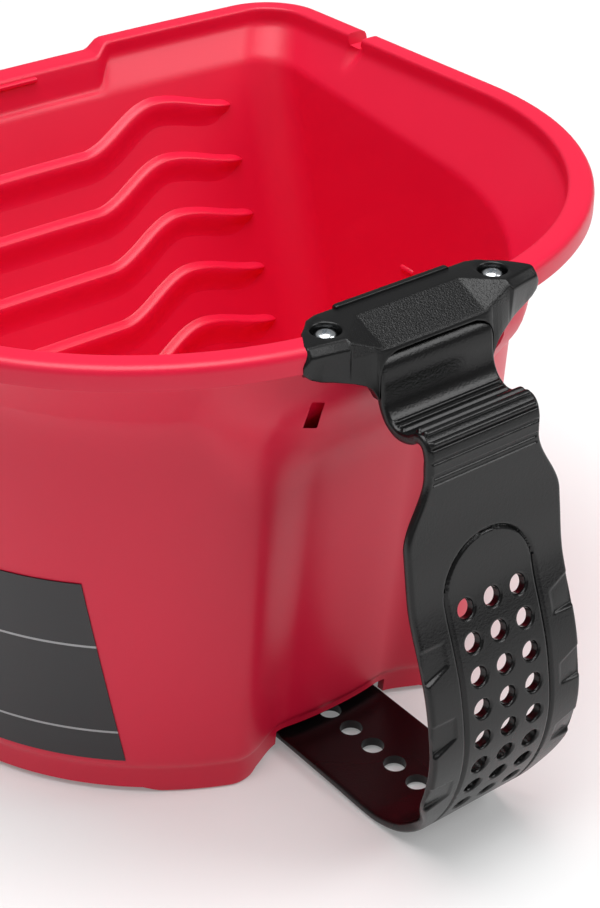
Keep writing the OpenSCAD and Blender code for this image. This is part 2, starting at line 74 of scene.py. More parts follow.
# %% Camera at the picture's angle
azimuth = math.radians(52.11)
elevation = math.radians(31.26)
camera_place = Vector((0.38481, -0.27214, 0.34824))
focal_pixels = 2010
image_width, image_height = 600, 908
sensor = 36

level_share = math.cos(elevation)
back = Vector((math.sin(azimuth) * level_share, -math.cos(azimuth) * level_share, math.sin(elevation)))
right = Vector((math.cos(azimuth), math.sin(azimuth), 0.0))
up = back.cross(right)
axes = Matrix((right, up, back)).transposed()
camera_data = bpy.data.cameras.new("picture_camera")
camera_data.sensor_width = sensor
camera_data.lens = focal_pixels / image_height * sensor
camera = bpy.data.objects.new("picture_camera", camera_data)
camera.matrix_world = Matrix.Translation(camera_place) @ axes.to_4x4()
bpy.context.scene.collection.objects.link(camera)
bpy.context.scene.camera = camera
print("lens", round(camera_data.lens, 2), "mm")

# %% [markdown]
# ## From arrays to a mesh
# Every new piece is an array of points in millimetres on a grid. One helper joins neighbours into quads, and
# another writes points and faces into a mesh. The writer measures the signed volume first: a closed mesh
# whose faces point inwards has a negative volume, and its faces are then turned round.

# %% Grid and mesh helpers
def grid_quads(rows, columns, wrap_rows=False, wrap_columns=True):
    """Quads between row i and i + 1 and column j and j + 1 of a grid that is numbered row by row."""
    i = np.arange(rows if wrap_rows else rows - 1)[:, None]
    j = np.arange(columns if wrap_columns else columns - 1)[None, :]
    below = (i + 1) % rows
    beside = (j + 1) % columns
    corners = [i * columns + j, i * columns + beside, below * columns + beside, below * columns + j]
    return np.stack(np.broadcast_arrays(*corners), axis=-1).reshape(-1, 4)


def signed_volume(points, quads, caps):
    """A sixth of the sum of a . (b x c) over the triangles of all faces."""
    fans = [np.stack([np.full(len(c) - 2, c[0]), c[1:-1], c[2:]], axis=-1) for c in caps]
    triangles = np.concatenate([quads[:, [0, 1, 2]], quads[:, [0, 2, 3]]] + fans)
    a, b, c = (points[triangles[:, k]] for k in range(3))
    return float((a * np.cross(b, c)).sum() / 6)


def add_piece(name, points, quads, caps=(), crease=35):
    """A closed mesh object from points in millimetres, quads, and end faces of any number of corners."""
    points = np.asarray(points, dtype=float).reshape(-1, 3)
    caps = [np.asarray(c) for c in caps]
    if signed_volume(points, quads, caps) < 0:
        quads = quads[:, ::-1]
        caps = [c[::-1] for c in caps]
    corners = np.concatenate([quads.ravel()] + caps).astype(np.int32)
    sizes = np.concatenate([np.full(len(quads), 4), [len(c) for c in caps]]).astype(np.int32)
    mesh = bpy.data.meshes.new(name)
    mesh.vertices.add(len(points))
    mesh.vertices.foreach_set("co", (points * MM).astype(np.float32).ravel())
    mesh.loops.add(len(corners))
    mesh.loops.foreach_set("vertex_index", corners)
    mesh.polygons.add(len(sizes))
    mesh.polygons.foreach_set("loop_start", np.concatenate([[0], np.cumsum(sizes)[:-1]]).astype(np.int32))
    mesh.update(calc_edges=True)
    mesh.validate()
    piece = bpy.data.objects.new(name, mesh)
    bpy.context.scene.collection.objects.link(piece)
    smooth(piece, crease)
    return piece


def smooth(piece, crease):
    """Smooth shading with a sharp edge where two faces meet at more than crease degrees."""
    mesh = piece.data
    mesh.polygons.foreach_set("use_smooth", np.ones(len(mesh.polygons), dtype=bool))
    mesh.set_sharp_from_angle(angle=math.radians(crease))

# %% [markdown]
# Most pieces here are tubes: rings of points that are joined one after the other, with a face over the
# first and the last ring. Openings could be modelled into the grid, but a round hole doesn't follow its
# lines. They are cut with a Boolean, whose manifold solver keeps a closed mesh closed.

# %% Tubes and cuts
def add_tubes(name, tubes, crease=35):
    """One mesh of tubes, each an array of rings. The first and last ring of a tube become its end faces."""
    tubes = np.asarray(tubes, dtype=float)
    count, rows, columns = tubes.shape[:3]
    shift = rows * columns * np.arange(count)
    quads = (grid_quads(rows, columns)[None] + shift[:, None, None]).reshape(-1, 4)
    ring = np.arange(columns)
    caps = [cap + s for s in shift for cap in (ring[::-1], (rows - 1) * columns + ring)]
    return add_piece(name, tubes, quads, caps, crease)


def carve(piece, cutter, crease=50):
    """Takes the cutter's volume away from the piece and removes the cutter."""
    cut = piece.modifiers.new("cut", "BOOLEAN")
    cut.operation = "DIFFERENCE"
    cut.solver = "MANIFOLD"
    cut.object = cutter
    done = bpy.data.meshes.new_from_object(piece.evaluated_get(bpy.context.evaluated_depsgraph_get()))
    piece.modifiers.clear()
    whole = piece.data
    piece.data = done
    done.name = piece.name
    bpy.data.meshes.remove(whole)
    bpy.data.meshes.remove(cutter.data)
    smooth(piece, crease)
    print(piece.name, "carved,", len(done.polygons), "faces")

# %% [markdown]
# ## Pail: the outline
# Seen from above, the pail is a half circle on the hand side and a nearly straight wall with rounded corners
# on the rib side. One function gives that outline for any width, length and corner. Its points are counted
# by stretch and share, so the same point of two outlines lies on the same line down the wall. On the
# straight sides they lie closer together where the rim is notched.

# %% Outline of the pail seen from above
even = [np.arange(n) / n for n in (8, 130, 28, 66)]
beside_notch = np.concatenate([np.arange(0, 0.59, 0.04), np.linspace(0.60, 0.735, 30),
                               np.arange(0.76, 1, 0.04)])
stretches = [even[0], even[1], beside_notch, even[2], even[3]]
half_stretch = np.concatenate([np.full(len(part), k) for k, part in enumerate(stretches)] + [[4]])
half_share = np.concatenate(stretches + [[1.0]])
stretch = np.concatenate([half_stretch, half_stretch[-2:0:-1]])
share = np.concatenate([half_share, half_share[-2:0:-1]])
side = np.concatenate([np.ones(len(half_share)), -np.ones(len(half_share) - 2)])


def outline(width, flat, front, length, corner, bow, at=None):
    """Front middle, then arc of radius (width - flat) / 2, straight side, corner arc and a rear that bows
    out by bow (1 - s^2), where s is the share of the way from the middle of the rear to its corner."""
    part, f, turn = (stretch, share, side) if at is None else at
    r = (width - flat) / 2
    rear = front - length + bow
    corner_y = width / 2 - corner
    a = np.radians(90 * f)
    x = np.choose(part, [
        front + 0 * f,
        front - r + r * np.cos(a),
        (front - r) * (1 - f) + (rear + corner) * f,
        rear + corner - corner * np.sin(a),
        rear - bow * (1 - (1 - f) ** 2),
    ])
    y = np.choose(part, [
        flat / 2 * f,
        flat / 2 + r * np.sin(a),
        width / 2 + 0 * f,
        corner_y + corner * np.cos(a),
        corner_y * (1 - f),
    ])
    return np.stack([x, turn * y], axis=-1)


print("outline", len(share), "points")

# %% [markdown]
# Two outlines rule the pail: the rim's, and that of its shorter and narrower base. The rim starts at the
# rear end of the solid model, and the base is measured from the rim's front.

# %% Outlines of rim and base
rear_x = cad_low[0] / MM
grip_x = cad_high[0] / MM
rim_length, rim_width, rim_flat, rim_corner, rim_bow, rim_top = 201.5, 215.0, 22.0, 20.0, 2.5, 7.0
rim_x = rear_x + rim_length
rim_z = 140.6
mid_x = rim_x - rim_length / 2
base_length, base_width, base_flat, base_back, base_corner = 123.5, 178.0, 2.0, 22.0, 15.0
base_x = rim_x - base_back


def rim_outline(inset, at=None):
    """The rim's outline, moved in by inset. Its corners get tighter only over the rim's top."""
    return outline(rim_width - 2 * inset, rim_flat, rim_x - inset, rim_length - 2 * inset,
                   rim_corner - np.minimum(inset, rim_top), rim_bow, at)


def base_outline(inset, at=None):
    """The base's outline, moved in by inset."""
    return outline(base_width - 2 * inset, base_flat, base_x - inset, base_length - 2 * inset,
                   base_corner - inset / 2, 0, at)


print("rim front at", round(rim_x, 2), "mm, base front at", round(base_x, 2), "mm")

# %% [markdown]
# ## Pail: the wall
# The wall leans out from the base to a crease, flares to the rim, goes over it and hangs down outside as a
# skirt. A lathe can't make this, because the outline isn't round. So corners of the section are set up for
# every outline point at once, and each corner is rounded with a short curve.

# %% Section of the wall
wall, skirt_height, skirt_wall, lip_height = 2.2, 6.0, 1.8, 5.0
flare_angle = math.radians(34)
flare, flare_wall = math.tan(flare_angle), wall / math.cos(flare_angle)
lip_z = rim_z - lip_height
floor_low, floor_top = 7.5, 10.0
crease_middle, crease_fall = 120.0, 0.075


def ease(v):
    """3c^2 - 2c^3 with c held between 0 and 1: a soft step."""
    c = np.clip(v, 0, 1)
    return c * c * (3 - 2 * c)


def crease_height(at=None):
    """The crease falls evenly towards the hand side."""
    return crease_middle - crease_fall * (rim_outline(rim_top, at)[:, 0] - mid_x)


def wall_lines(at=None):
    """Base and crease outlines of the inner and outer face, and the height of the crease."""
    high = crease_height(at)
    inset = rim_top + flare * (lip_z - high)
    inner = base_outline(wall, at), rim_outline(inset, at)
    outer = base_outline(0, at), rim_outline(inset - flare_wall, at)
    return inner, outer, high


def on_wall(lines, high, z):
    """The wall's straight line from base to crease, at height z."""
    f = (z / high)[..., None]
    xy = lines[0] * (1 - f) + lines[1] * f
    return np.concatenate([xy, np.broadcast_to(z, high.shape)[..., None]], axis=-1)


inner_lines, outer_lines, crease_z = wall_lines()
print("crease from", round(crease_z.min(), 1), "to", round(crease_z.max(), 1), "mm")

# %% [markdown]
# A bevel modifier would round all corners of the section alike. On the moulding the floor's corner is wide
# and the edges of the rim are tight, so each corner gets its own rounding.

# %% Rounded corners
def rounded_profile(knots, rounds, splits, bend=4, most=0.45):
    """Rows down a section: straight stretches cut in equal parts, and at a corner P the curve
    (1 - u)^2 A + 2u(1 - u) P + u^2 B, where A and B lie on the two stretches at the rounding from P. The
    rounding takes up no more than the share most of a stretch."""
    rows = [knots[0]]
    start = knots[0]
    u = np.linspace(0, 1, bend + 1)[1:, None, None]
    for k in range(1, len(knots)):
        here = knots[k]
        into, out = here, here
        if k < len(knots) - 1 and rounds[k] > 0:
            last, after = knots[k - 1] - here, knots[k + 1] - here
            size = [np.maximum(np.linalg.norm(d, axis=-1, keepdims=True), 1e-6) for d in (last, after)]
            into = here + last * np.minimum(rounds[k] / size[0], most)
            out = here + after * np.minimum(rounds[k] / size[1], most)
        f = np.linspace(0, 1, splits[k - 1] + 1)[1:, None, None]
        rows.extend(start + (into - start) * f)
        if rounds[k] > 0 and k < len(knots) - 1:
            rows.extend((1 - u) ** 2 * into + 2 * u * (1 - u) * here + u * u * out)
        start = out
    return np.stack(rows)

# %% [markdown]
# The rim dips above the ribs, the wall bulges out under the bracket, and a panel behind the strap is sunk
# in so that fingers have room. These are soft steps over the distance from the pail's middle line, added to
# the same rows.

# %% Dip, bulge and sunk panel
dip_depth, dip_half, dip_slope = 3.1, 34.5, 5.0
lip_drop, edge_lean, lip_lean = 7.595, 2.52, 4.2
notch_x = rear_x + 50
panel_high, panel_corner = 111.0, 18.0
panel_half, panel_depth, panel_soft = (37.5, 31.5), (12.0, 1.4), (22.0, 16.0)
bracket_half = 34.0


def in_dip(xy):
    """1 where the rear edge dips, and eased to 0 beside the dip."""
    return (xy[:, 0] < mid_x) * ease((dip_half + dip_slope - np.abs(xy[:, 1])) / dip_slope)


def rim_at(inset, z, dip=0.0, lean=0.0):
    """A ring at the rim's outline, lowered by dip and moved in by lean where the rear edge dips."""
    share_in = in_dip(rim_outline(inset))
    xy = rim_outline(inset + lean * share_in)
    return np.concatenate([xy, (z - dip * share_in)[:, None]], axis=-1)


def under_rim(inset, solid=6.0):
    """A ring of the hollow under the rim. Beside a notch it comes down, so that the rim is solid there."""
    ring = rim_at(inset, rim_z - wall, dip_depth)
    filled = (np.abs(ring[:, 1]) > rim_width / 4) * ease((solid + 2 - np.abs(ring[:, 0] - notch_x)) / 2)
    ring[:, 2] += (lip_z + 0.2 - ring[:, 2]) * filled
    return ring


def under_bracket(xy, soft=16.0):
    """1 below the bracket, and eased to 0 over soft beside it."""
    return (xy[:, 0] > mid_x) * ease((bracket_half + soft - np.abs(xy[:, 1])) / soft)


def bulge_ring(f=0.35, reach=5.3):
    """A ring part of the way up the flare's outer face, brought out to inset reach under the bracket."""
    inset = rim_top + flare * (lip_z - crease_z) - flare_wall
    xy = rim_outline(inset * (1 - f) + (rim_top - wall) * f)
    under = under_bracket(xy)[:, None]
    xy = xy * (1 - under) + rim_outline(reach) * under
    return np.concatenate([xy, (crease_z * (1 - f) + lip_z * f)[:, None]], axis=-1)


def sink_panel(points):
    """Moves the hand side in, inside an arch with round corners. The arch's half width, its depth and the
    width of its soft edge go from their first value at the table to their second at its top."""
    x, y, z = np.moveaxis(points, -1, 0)
    f = np.clip(z / panel_high, 0, 1)
    half, depth, soft = (low + (high - low) * f for low, high in (panel_half, panel_depth, panel_soft))
    beside, above = half - np.abs(y), panel_high - z
    corner = panel_corner - np.hypot(panel_corner - beside, panel_corner - above)
    inside = np.where((beside < panel_corner) & (above < panel_corner), corner, np.minimum(beside, above))
    return np.stack([x - (x > 0) * depth * ease(inside / soft), y, z], axis=-1)


def wire_guide(points, half=3.6, deep=1.9, low=129.5, high=135.0, slant=0.25):
    """A slanted valley in the flare under each notch: out by deep (1 - |u|), where u is the share of its
    half width, and fading to nothing from high to low."""
    x, y, z = np.moveaxis(points, -1, 0)
    across = np.clip(1 - np.abs(x - notch_x + slant * (high - z)) / half, 0, 1)
    on_flare = (np.abs(y) > rim_width / 4) & (np.abs(y) < rim_width / 2 - 4) & (z < rim_z - 3)
    out = deep * across * ease((z - low) / (high - low)) * on_flare
    return np.stack([x, y + np.sign(y) * out, z], axis=-1)

# %% [markdown]
# Now the corners are listed in the order in which a finger would follow the wall: down inside the foot, up
# the outer face, under and over the rim, down the inner face and in over the floor.

# %% Wall from its corners
def drawn_in(points, inset):
    """Moves points towards the pail's upright middle line by inset."""
    level = (points - [mid_x, 0, 0]) * [1, 1, 0]
    return points - inset * level / np.linalg.norm(level, axis=-1, keepdims=True)


def inner_at(z):
    """The wall's inner face at height z."""
    return on_wall(inner_lines, crease_z, z)


def outer_at(z):
    """The wall's outer face at height z."""
    return on_wall(outer_lines, crease_z, z)


foot_inset, foot_top, step_top, bulge_drop = 1.2, 8.2, 10.2, 14.0
knots = np.stack([
    drawn_in(inner_at(floor_low), foot_inset),
    drawn_in(inner_at(0), foot_inset),
    drawn_in(outer_at(0), foot_inset),
    drawn_in(outer_at(foot_top), foot_inset),
    outer_at(step_top),
    outer_at(crease_z - bulge_drop * under_bracket(outer_lines[1])),
    bulge_ring(),
    rim_at(rim_top - wall, lip_z),
    under_rim(rim_top - wall),
    under_rim(skirt_wall),
    rim_at(skirt_wall, rim_z - skirt_height),
    rim_at(0, rim_z - skirt_height),
    rim_at(0, rim_z, dip_depth),
    rim_at(rim_top, rim_z, dip_depth, edge_lean),
    rim_at(rim_top, lip_z, lip_drop, lip_lean),
    inner_at(crease_z),
    inner_at(floor_top),
])
centre = np.array([mid_x, 0, floor_top])
knots = np.concatenate([knots, centre + (knots[-1:] - centre) * [0.7, 0.7, 1]])
rounds = [0, 0.5, 0.9, 0.8, 1.6, 10, 5, 1.2, 0.8, 0.8, 0.5, 0.5, 2.3, 1.2, 1.4, 1.8, 6, 0]
splits = [2, 1, 3, 1, 34, 4, 6, 2, 2, 1, 1, 2, 3, 2, 9, 10, 4]
shell_rows = wire_guide(sink_panel(rounded_profile(knots, rounds, splits)))
pail_shell = add_tubes("pail_wall", [shell_rows], crease=50)
print("pail", shell_rows.shape[0], "rows of", shell_rows.shape[1], "points")

# %% [markdown]
# ## Pail: openings
# The rim is cut away where the bracket sits and notched on both sides for the wire of a roller, the foot is
# cut for the strap and between the feet, and a slot sinks in on either side of the strap. Most cutters are
# prisms, so one function extrudes an outline.

# %% Bracket seat, wire notches and strap opening
def prism(name, outline_points, direction):
    """A straight prism: the outline's points, and the same points moved by direction."""
    near = np.asarray(outline_points, dtype=float)
    return add_tubes(name, [[near, near + direction]])


beyond, below_table = 140.0, -5.0
seat_z = rim_z - 9
ear_reach, ear_bevel, ear_tip, seat_bite = 1.2, 4.0, 33.8, 0.15


def seat_ring(end, z):
    """The bracket's outline from above at height z, drawn in so that the rim's ends reach into it."""
    half = np.array([[68.8, 22.5], [69.9, 25.6], [74.1, 30.2], [79.6, ear_tip], [80.2, end], [beyond, end]])
    half += [seat_bite, -seat_bite]
    return np.insert(np.concatenate([half * [1, -1], half[::-1]]), 2, z, axis=1)


seat_end = bracket_half + ear_reach
seat_rings = [seat_ring(seat_end, seat_z), seat_ring(seat_end, rim_z - ear_bevel),
              seat_ring(ear_tip, rim_z + 0.1)]
carve(pail_shell, add_tubes("seat_cutter", [seat_rings]))
notch_outline = [[-4.2, 8], [-3.2, 0], [-2.6, -3.4], [0, -4.3], [2.6, -3.4], [3.2, 0], [4.2, 8]]
notch_near = [[notch_x + x, -beyond, rim_z + z] for x, z in notch_outline]
carve(pail_shell, prism("notch_cutter", notch_near, [0, 2 * beyond, 0]))
opening_back, opening_half, opening_top = -26.0, 18.8, 6.0
opening_plan = [[opening_back, -opening_half], [beyond, -opening_half], [beyond, opening_half],
                [opening_back, opening_half]]
strap_opening = [[x, y, below_table] for x, y in opening_plan]
carve(pail_shell, prism("strap_cutter", strap_opening, [0, 0, opening_top - below_table]))

# %% [markdown]
# The foot is cut back between the corners, so that the pail stands on feet with sloping ends. The near slot
# goes in along the lines of sight through its corners in the picture, and the far one is its mirror image.

# %% Feet and slots
foot_height, foot_slant = 1.5, 3.5


def foot_gap(first, last):
    """Section of a gap between feet, wider at the table, so that the feet have sloping ends."""
    low, high = first - foot_slant, last + foot_slant
    return [[low, below_table], [high, below_table], [high, 0], [last, foot_height],
            [first, foot_height], [low, 0]]


side_gap = [[u, -beyond, z] for u, z in foot_gap(-31, 41.2)]
carve(pail_shell, prism("foot_cutter", side_gap, [0, 2 * beyond, 0]))
gap_length = 114.0
for start, half in ((-160, 59), (44, 28.5)):
    end_gap = [[start, u, z] for u, z in foot_gap(-half, half)]
    carve(pail_shell, prism("foot_cutter", end_gap, [gap_length, 0, 0]))


def seen_at(pixels, x):
    """Points at the given x on the lines of sight right u - up v - back through pixels of the picture,
    rounded to tenths of a millimetre."""
    u, v = ((np.asarray(pixels) - [image_width / 2, image_height / 2]) / focal_pixels).T[:, :, None]
    sight = u * np.array(right) - v * np.array(up) - np.array(back)
    eye = np.array(camera_place) / MM
    return np.round(eye + sight * ((x - eye[0]) / sight[:, 0])[:, None], 1)


slot_pixels = [[312, 402], [325, 403], [317, 428], [303, 428]]
slot_mouth_x, slot_floor_x = 86.0, np.array([73.0, 73.0, 69.0, 69.0])
slot_corners = np.stack([seen_at(slot_pixels, slot_mouth_x), seen_at(slot_pixels, slot_floor_x)])
for turn in (1, -1):
    carve(pail_shell, add_tubes("slot_cutter", [slot_corners * [1, turn, 1]]))

# %% [markdown]
# ## Pail: roll-off ribs
# Each rib runs level in the middle and rises in a wave to both sides. It could be pulled out of the wall's
# own mesh, but that would need very fine rows everywhere. A strip that follows the wall and swells into a
# ridge with a long soft underside needs fewer points, and its root lies inside the wall.

# %% Roll-off ribs on the rear wall
rib_count, rib_half, rib_high, rib_pitch, rib_out, rib_root = 6, 76.0, 110.6, 16.5, 2.6, 0.9
rib_wave, wave_start, wave_peak, wave_fall = 10.0, 0.28, 0.64, 0.55
rib_above, rib_below, rib_round, rib_fade = 2.4, 10.0, 5.0, 13.0
rib_number = np.arange(rib_count)[:, None, None]
along = np.linspace(-1, 1, 181)[None, :, None]
across = np.linspace(-1, 1, 31)[None, None, :]
rear_high = crease_z[len(half_share) - 1]


def rear_wall(y, z):
    """The inner face of the rear wall, with its slight bow."""
    base_at = base_x - base_length + wall
    top_at = inner_lines[1][len(half_share) - 1, 0] + rim_bow * (y / (rim_width / 2 - rim_corner)) ** 2
    f = z / rear_high
    return base_at * (1 - f) + top_at * f


def rib_middle(s):
    """Rise over the level middle at share s of the half length: up by rib_wave at wave_peak, then down by
    the share wave_fall of it."""
    rise = ease((np.abs(s) - wave_start) / (wave_peak - wave_start))
    return rib_wave * (rise - wave_fall * ease((np.abs(s) - wave_peak) / (1 - wave_peak)))


end_room = np.clip((1 - np.abs(along)) * rib_half / rib_round, 0, 1)
end_round = np.sqrt(np.clip(1 - (1 - end_room) ** 2, 0.02, 1))
slope = np.gradient(rib_middle(along[0, :, 0]), along[0, :, 0] * rib_half)[None, :, None]
lie = np.stack(np.broadcast_arrays(-slope, np.ones_like(slope)), axis=-1)
lie = lie / np.sqrt(1 + slope ** 2)[..., None]
rib_width = np.where(across > 0, rib_above, rib_below)
offset = (across * rib_width * end_round)[..., None] * lie
rib_y = along * rib_half + offset[..., 0]
rib_z = rib_high - rib_pitch * rib_number + rib_middle(along) + offset[..., 1]
ridge = np.where(across > 0, np.cos(np.pi / 2 * across) ** 1.4, ease(1 + across) ** 2)
end_fade = ease((1 - np.abs(along)) * rib_half / rib_fade)
below = np.clip(-across / 0.3, 0, 1)
swell = rib_out * end_round * ridge * (1 - below * (1 - end_fade)) - 0.05
lean = math.atan2(rear_wall(0, 0) - rear_wall(0, rear_high), rear_high)
face = np.array([math.cos(lean), 0, math.sin(lean)])
foot = np.stack(np.broadcast_arrays(rear_wall(rib_y, rib_z), rib_y, rib_z), axis=-1)
top = foot + swell[..., None] * face
under = foot - rib_root * face
rib_loops = np.concatenate([top, under[:, :, ::-1]], axis=2)
roll_off_ribs = add_tubes("roll_off_ribs", rib_loops, crease=60)
print("ribs", len(roll_off_ribs.data.polygons), "faces")

# %% [markdown]
# The strap's tail hooks on a peg under the floor. It is a short turned stud, so a profile swept round an
# axis gives it. The same lathe makes the screws and the cutters for round holes.

# %% Lathe and hook peg
def lathe(profile, place, axis=(0, 0, 1), segments=48):
    """Points r cos a, r sin a, h of a profile of (r, h), stood on axis at place."""
    r, h = np.asarray(profile, dtype=float).T[:, :, None]
    a = np.linspace(0, 2 * np.pi, segments, endpoint=False)[None]
    w = np.asarray(axis, dtype=float) / np.linalg.norm(axis)
    u = np.cross(w, [0, 1, 0]) if abs(w[1]) < 0.9 else np.cross(w, [1, 0, 0])
    u = u / np.linalg.norm(u)
    v = np.cross(w, u)
    ring = (r * np.cos(a))[..., None] * u + (r * np.sin(a))[..., None] * v
    return np.asarray(place) + ring + (h + 0 * a)[..., None] * w


peg_x, peg_z = 39.4, 4.6
peg_profile = [[1.6, 0], [2.0, 0.2], [2.2, 0.7], [2.2, 2.6], [2.6, 3.0]]
hook_peg = add_tubes("hook_peg", [lathe(peg_profile, [peg_x, 0, peg_z])])
print("peg", len(hook_peg.data.polygons), "faces")

# %% [markdown]
# Two small moulded details lie on the pail's inner side: a ledge under the rim's dip, which can hold a
# liner, and a short fill mark on the far wall. The ledge is a prism. The mark is a round-ended bar from the
# lathe, half sunk in the wall.

# %% Liner ledge and fill mark
ledge_half = 12.0
ledge_section = [[8.5, 136.3], [10.8, 136.3], [11.1, 136.0], [11.1, 135.3], [10.8, 134.9], [8.5, 134.1]]
ledge_near = [[rear_x + x, -ledge_half, z] for x, z in ledge_section]
liner_ledge = prism("liner_ledge", ledge_near, [0, 2 * ledge_half, 0])
mark_half, mark_radius, mark_place = 3.4, 1.1, [-27.0, 89.7, 81.0]
mark_turn = np.linspace(-1, 1, 13) * math.radians(80)
mark_profile = np.stack([mark_radius * np.cos(mark_turn), mark_radius * np.sin(mark_turn)], axis=-1)
mark_profile[:, 1] += np.where(mark_turn > 0, 1, -1) * (mark_half - mark_radius)
fill_mark = add_tubes("fill_mark", [lathe(mark_profile, mark_place, (1, 0, 0), 24)])
print("ledge", len(liner_ledge.data.polygons), "faces, mark", len(fill_mark.data.polygons), "faces")

# %% [markdown]
# ## Label
# A dark film is stuck to the near wall. It is cut from the wall's own outer face: the same outline function
# is asked only for the stretch that the film covers. Its map runs along and up the film, for two printed
# lines.

# %% Label film on the near wall
film_low, film_high, film_gap, film_wall = 12.0, 69.0, 0.06, 0.28
film_rows, film_columns = 28, 90
film_start, film_slant, quarter_turn = 42.5, 6.0, 90
film_up, film_along = np.meshgrid(np.linspace(0, 1, film_rows), np.linspace(0, 1, film_columns),
                                  indexing="ij")
film_from = (film_start + film_slant * film_up) / quarter_turn
film_share = (film_from + (1 - film_from) * film_along).ravel()
film_at = (np.ones(film_share.size, dtype=int), film_share, -np.ones(film_share.size))
film_lines = wall_lines(film_at)
film_height = (film_low + (film_high - film_low) * film_up).ravel()
film_face = on_wall(film_lines[1], film_lines[2], film_height).reshape(film_rows, film_columns, 3)
film_out = np.cross(np.gradient(film_face, axis=1), np.gradient(film_face, axis=0))
film_out /= np.linalg.norm(film_out, axis=-1, keepdims=True)
film_out *= np.sign(film_out[..., 1:2] * film_face[..., 1:2])
film_skin = np.stack([film_face + film_gap * film_out, film_face + (film_gap + film_wall) * film_out])
film_count = film_rows * film_columns
film_quads = grid_quads(film_rows, film_columns, wrap_columns=False)
film_index = np.arange(film_count).reshape(film_rows, film_columns)
film_rim = np.concatenate([film_index[0, :-1], film_index[:-1, -1],
                           film_index[-1, :0:-1], film_index[:0:-1, 0]])
film_next = np.roll(film_rim, -1)
film_edge = np.stack([film_rim, film_next, film_next + film_count, film_rim + film_count], axis=-1)
label_film = add_piece("label_film", film_skin,
                       np.concatenate([film_quads[:, ::-1], film_quads + film_count, film_edge]))
film_map = label_film.data.uv_layers.new(name="film")
film_corner = np.empty(len(label_film.data.loops), dtype=np.int32)
label_film.data.loops.foreach_get("vertex_index", film_corner)
film_v, film_u = np.divmod(film_corner % film_count, film_columns)
film_uv = np.stack([film_u / (film_columns - 1), film_v / (film_rows - 1)], axis=-1)
film_map.data.foreach_set("uv", film_uv.astype(np.float32).ravel())
print("label", len(label_film.data.polygons), "faces")

# %% [markdown]
# ## Bracket
# The bracket closes the gap in the rim. It has two ears with screws, a thumb rest that slopes down between
# them, and an apron that flows down beside the strap. Its section changes along its length, so it is a loft:
# each corner of the section is a function of the distance from the middle.

# %% Bracket as a loft along its length
bracket_top = rim_z
end_start = 33.2
end_stations = end_start + (bracket_half - end_start) * np.sin(np.linspace(0.2, np.pi / 2, 7))
loft_y = np.concatenate([np.linspace(0, 15.2, 24), np.linspace(15.3, 17.05, 8), np.linspace(17.35, 24.5, 44),
                         np.linspace(24.8, end_start, 40), end_stations])
loft_y = np.concatenate([-loft_y[:0:-1], loft_y])
reach = np.abs(loft_y)


def corner(places, xs, zs):
    """A corner of the section: x and z read off straight lines between distances from the middle."""
    x = np.interp(reach, places, xs)
    z = np.interp(reach, places, zs)
    return np.stack([x, loft_y, z], axis=-1)


ear_lift, lift_start, lift_length, seam = 3.2, 31.5, 2.0, 0.05
under_z = seat_z + ear_lift * ease((reach - lift_start) / lift_length)
over_z = under_z + 2 * seam
inner_top = corner([0, 22.5, 25.6, 29.75, 32.7, 34], [68.8, 68.8, 69.9, 74.1, 79.6, 80.2],
                   [bracket_top] * 5 + [bracket_top - ear_bevel])
rest_top = corner([0, 15.4, 23.7, 32.7, 34], [74.9, 74.9, 82.6, 80.9, 80.9],
                  [bracket_top] * 4 + [bracket_top - ear_bevel + 0.2])
rest_low = corner([0, 15.2, 23.7, 24.4, 32.7, 34], [85.4, 85.4, 84.0, 84.7, 82.8, 82.1],
                  [136.3, 136.3, 139.8, 138.7, 138.6, 136.6])
apron_low = corner([0, 11.8, 13, 14.5, 15.8, 16.6, 17.05, 17.35, 18, 19, 20.5, 23, 26, 30, 32.25, 34],
                   [85.9, 85.9, 86, 86.1, 86.3, 86.4, 86.5, 86.5, 86.4, 86.2, 85.8, 84.9, 83.5, 82.2,
                    81.9, 81.7],
                   [135, 134.9, 134.6, 134, 132.9, 131.5, 130, 124.2, 125.6, 127.4, 128.6, 129.6, 130.3,
                    131.4, 132.8, 134.6])
pocket_half, pocket_x, pocket_drop, apron_wall, least_step = 17.2, 75.1, 0.6, 2.4, 0.2
inner_low = np.stack([inner_top[:, 0], loft_y, over_z], axis=-1)
seat_back = np.stack([np.maximum(pocket_x, inner_top[:, 0] + least_step), loft_y,
                      np.where(reach < pocket_half, lip_z - pocket_drop, under_z + seam)], axis=-1)
step_back = np.stack([seat_back[:, 0], loft_y, over_z], axis=-1)
seat_front = seat_back.copy()
seat_front[:, 0] = np.maximum(np.interp(reach, [17, 34], [79.6, 77.2]), seat_back[:, 0] + least_step)
apron_back = apron_low.copy()
apron_back[:, 0] = np.maximum(apron_low[:, 0] - apron_wall, seat_front[:, 0] + least_step)
section = [inner_low, inner_top, rest_top, rest_low, apron_low, apron_back, seat_front, seat_back, step_back]
joint_middle = (section[-1] + section[0]) / 2
bracket_rounds = [0, 0.5, 0.9, 0.55, 0.6, 0.5, 0.4, 0.2, 0.2, 0.2, 0]
bracket_splits = [1, 3, 3, 8, 4, 1, 2, 1, 1, 1]
bracket_rows = rounded_profile(np.stack([joint_middle] + section + [joint_middle]), bracket_rounds,
                               bracket_splits)[:-1]
print("bracket", bracket_rows.shape[0], "rows of", bracket_rows.shape[1], "points")

# %% [markdown]
# The bracket's ends are rounded by drawing the last stations in, and its ears are then stretched to meet
# the rim. The loft's rows run along the piece, so its end faces lie across them. Two stepped bores take the
# screws.

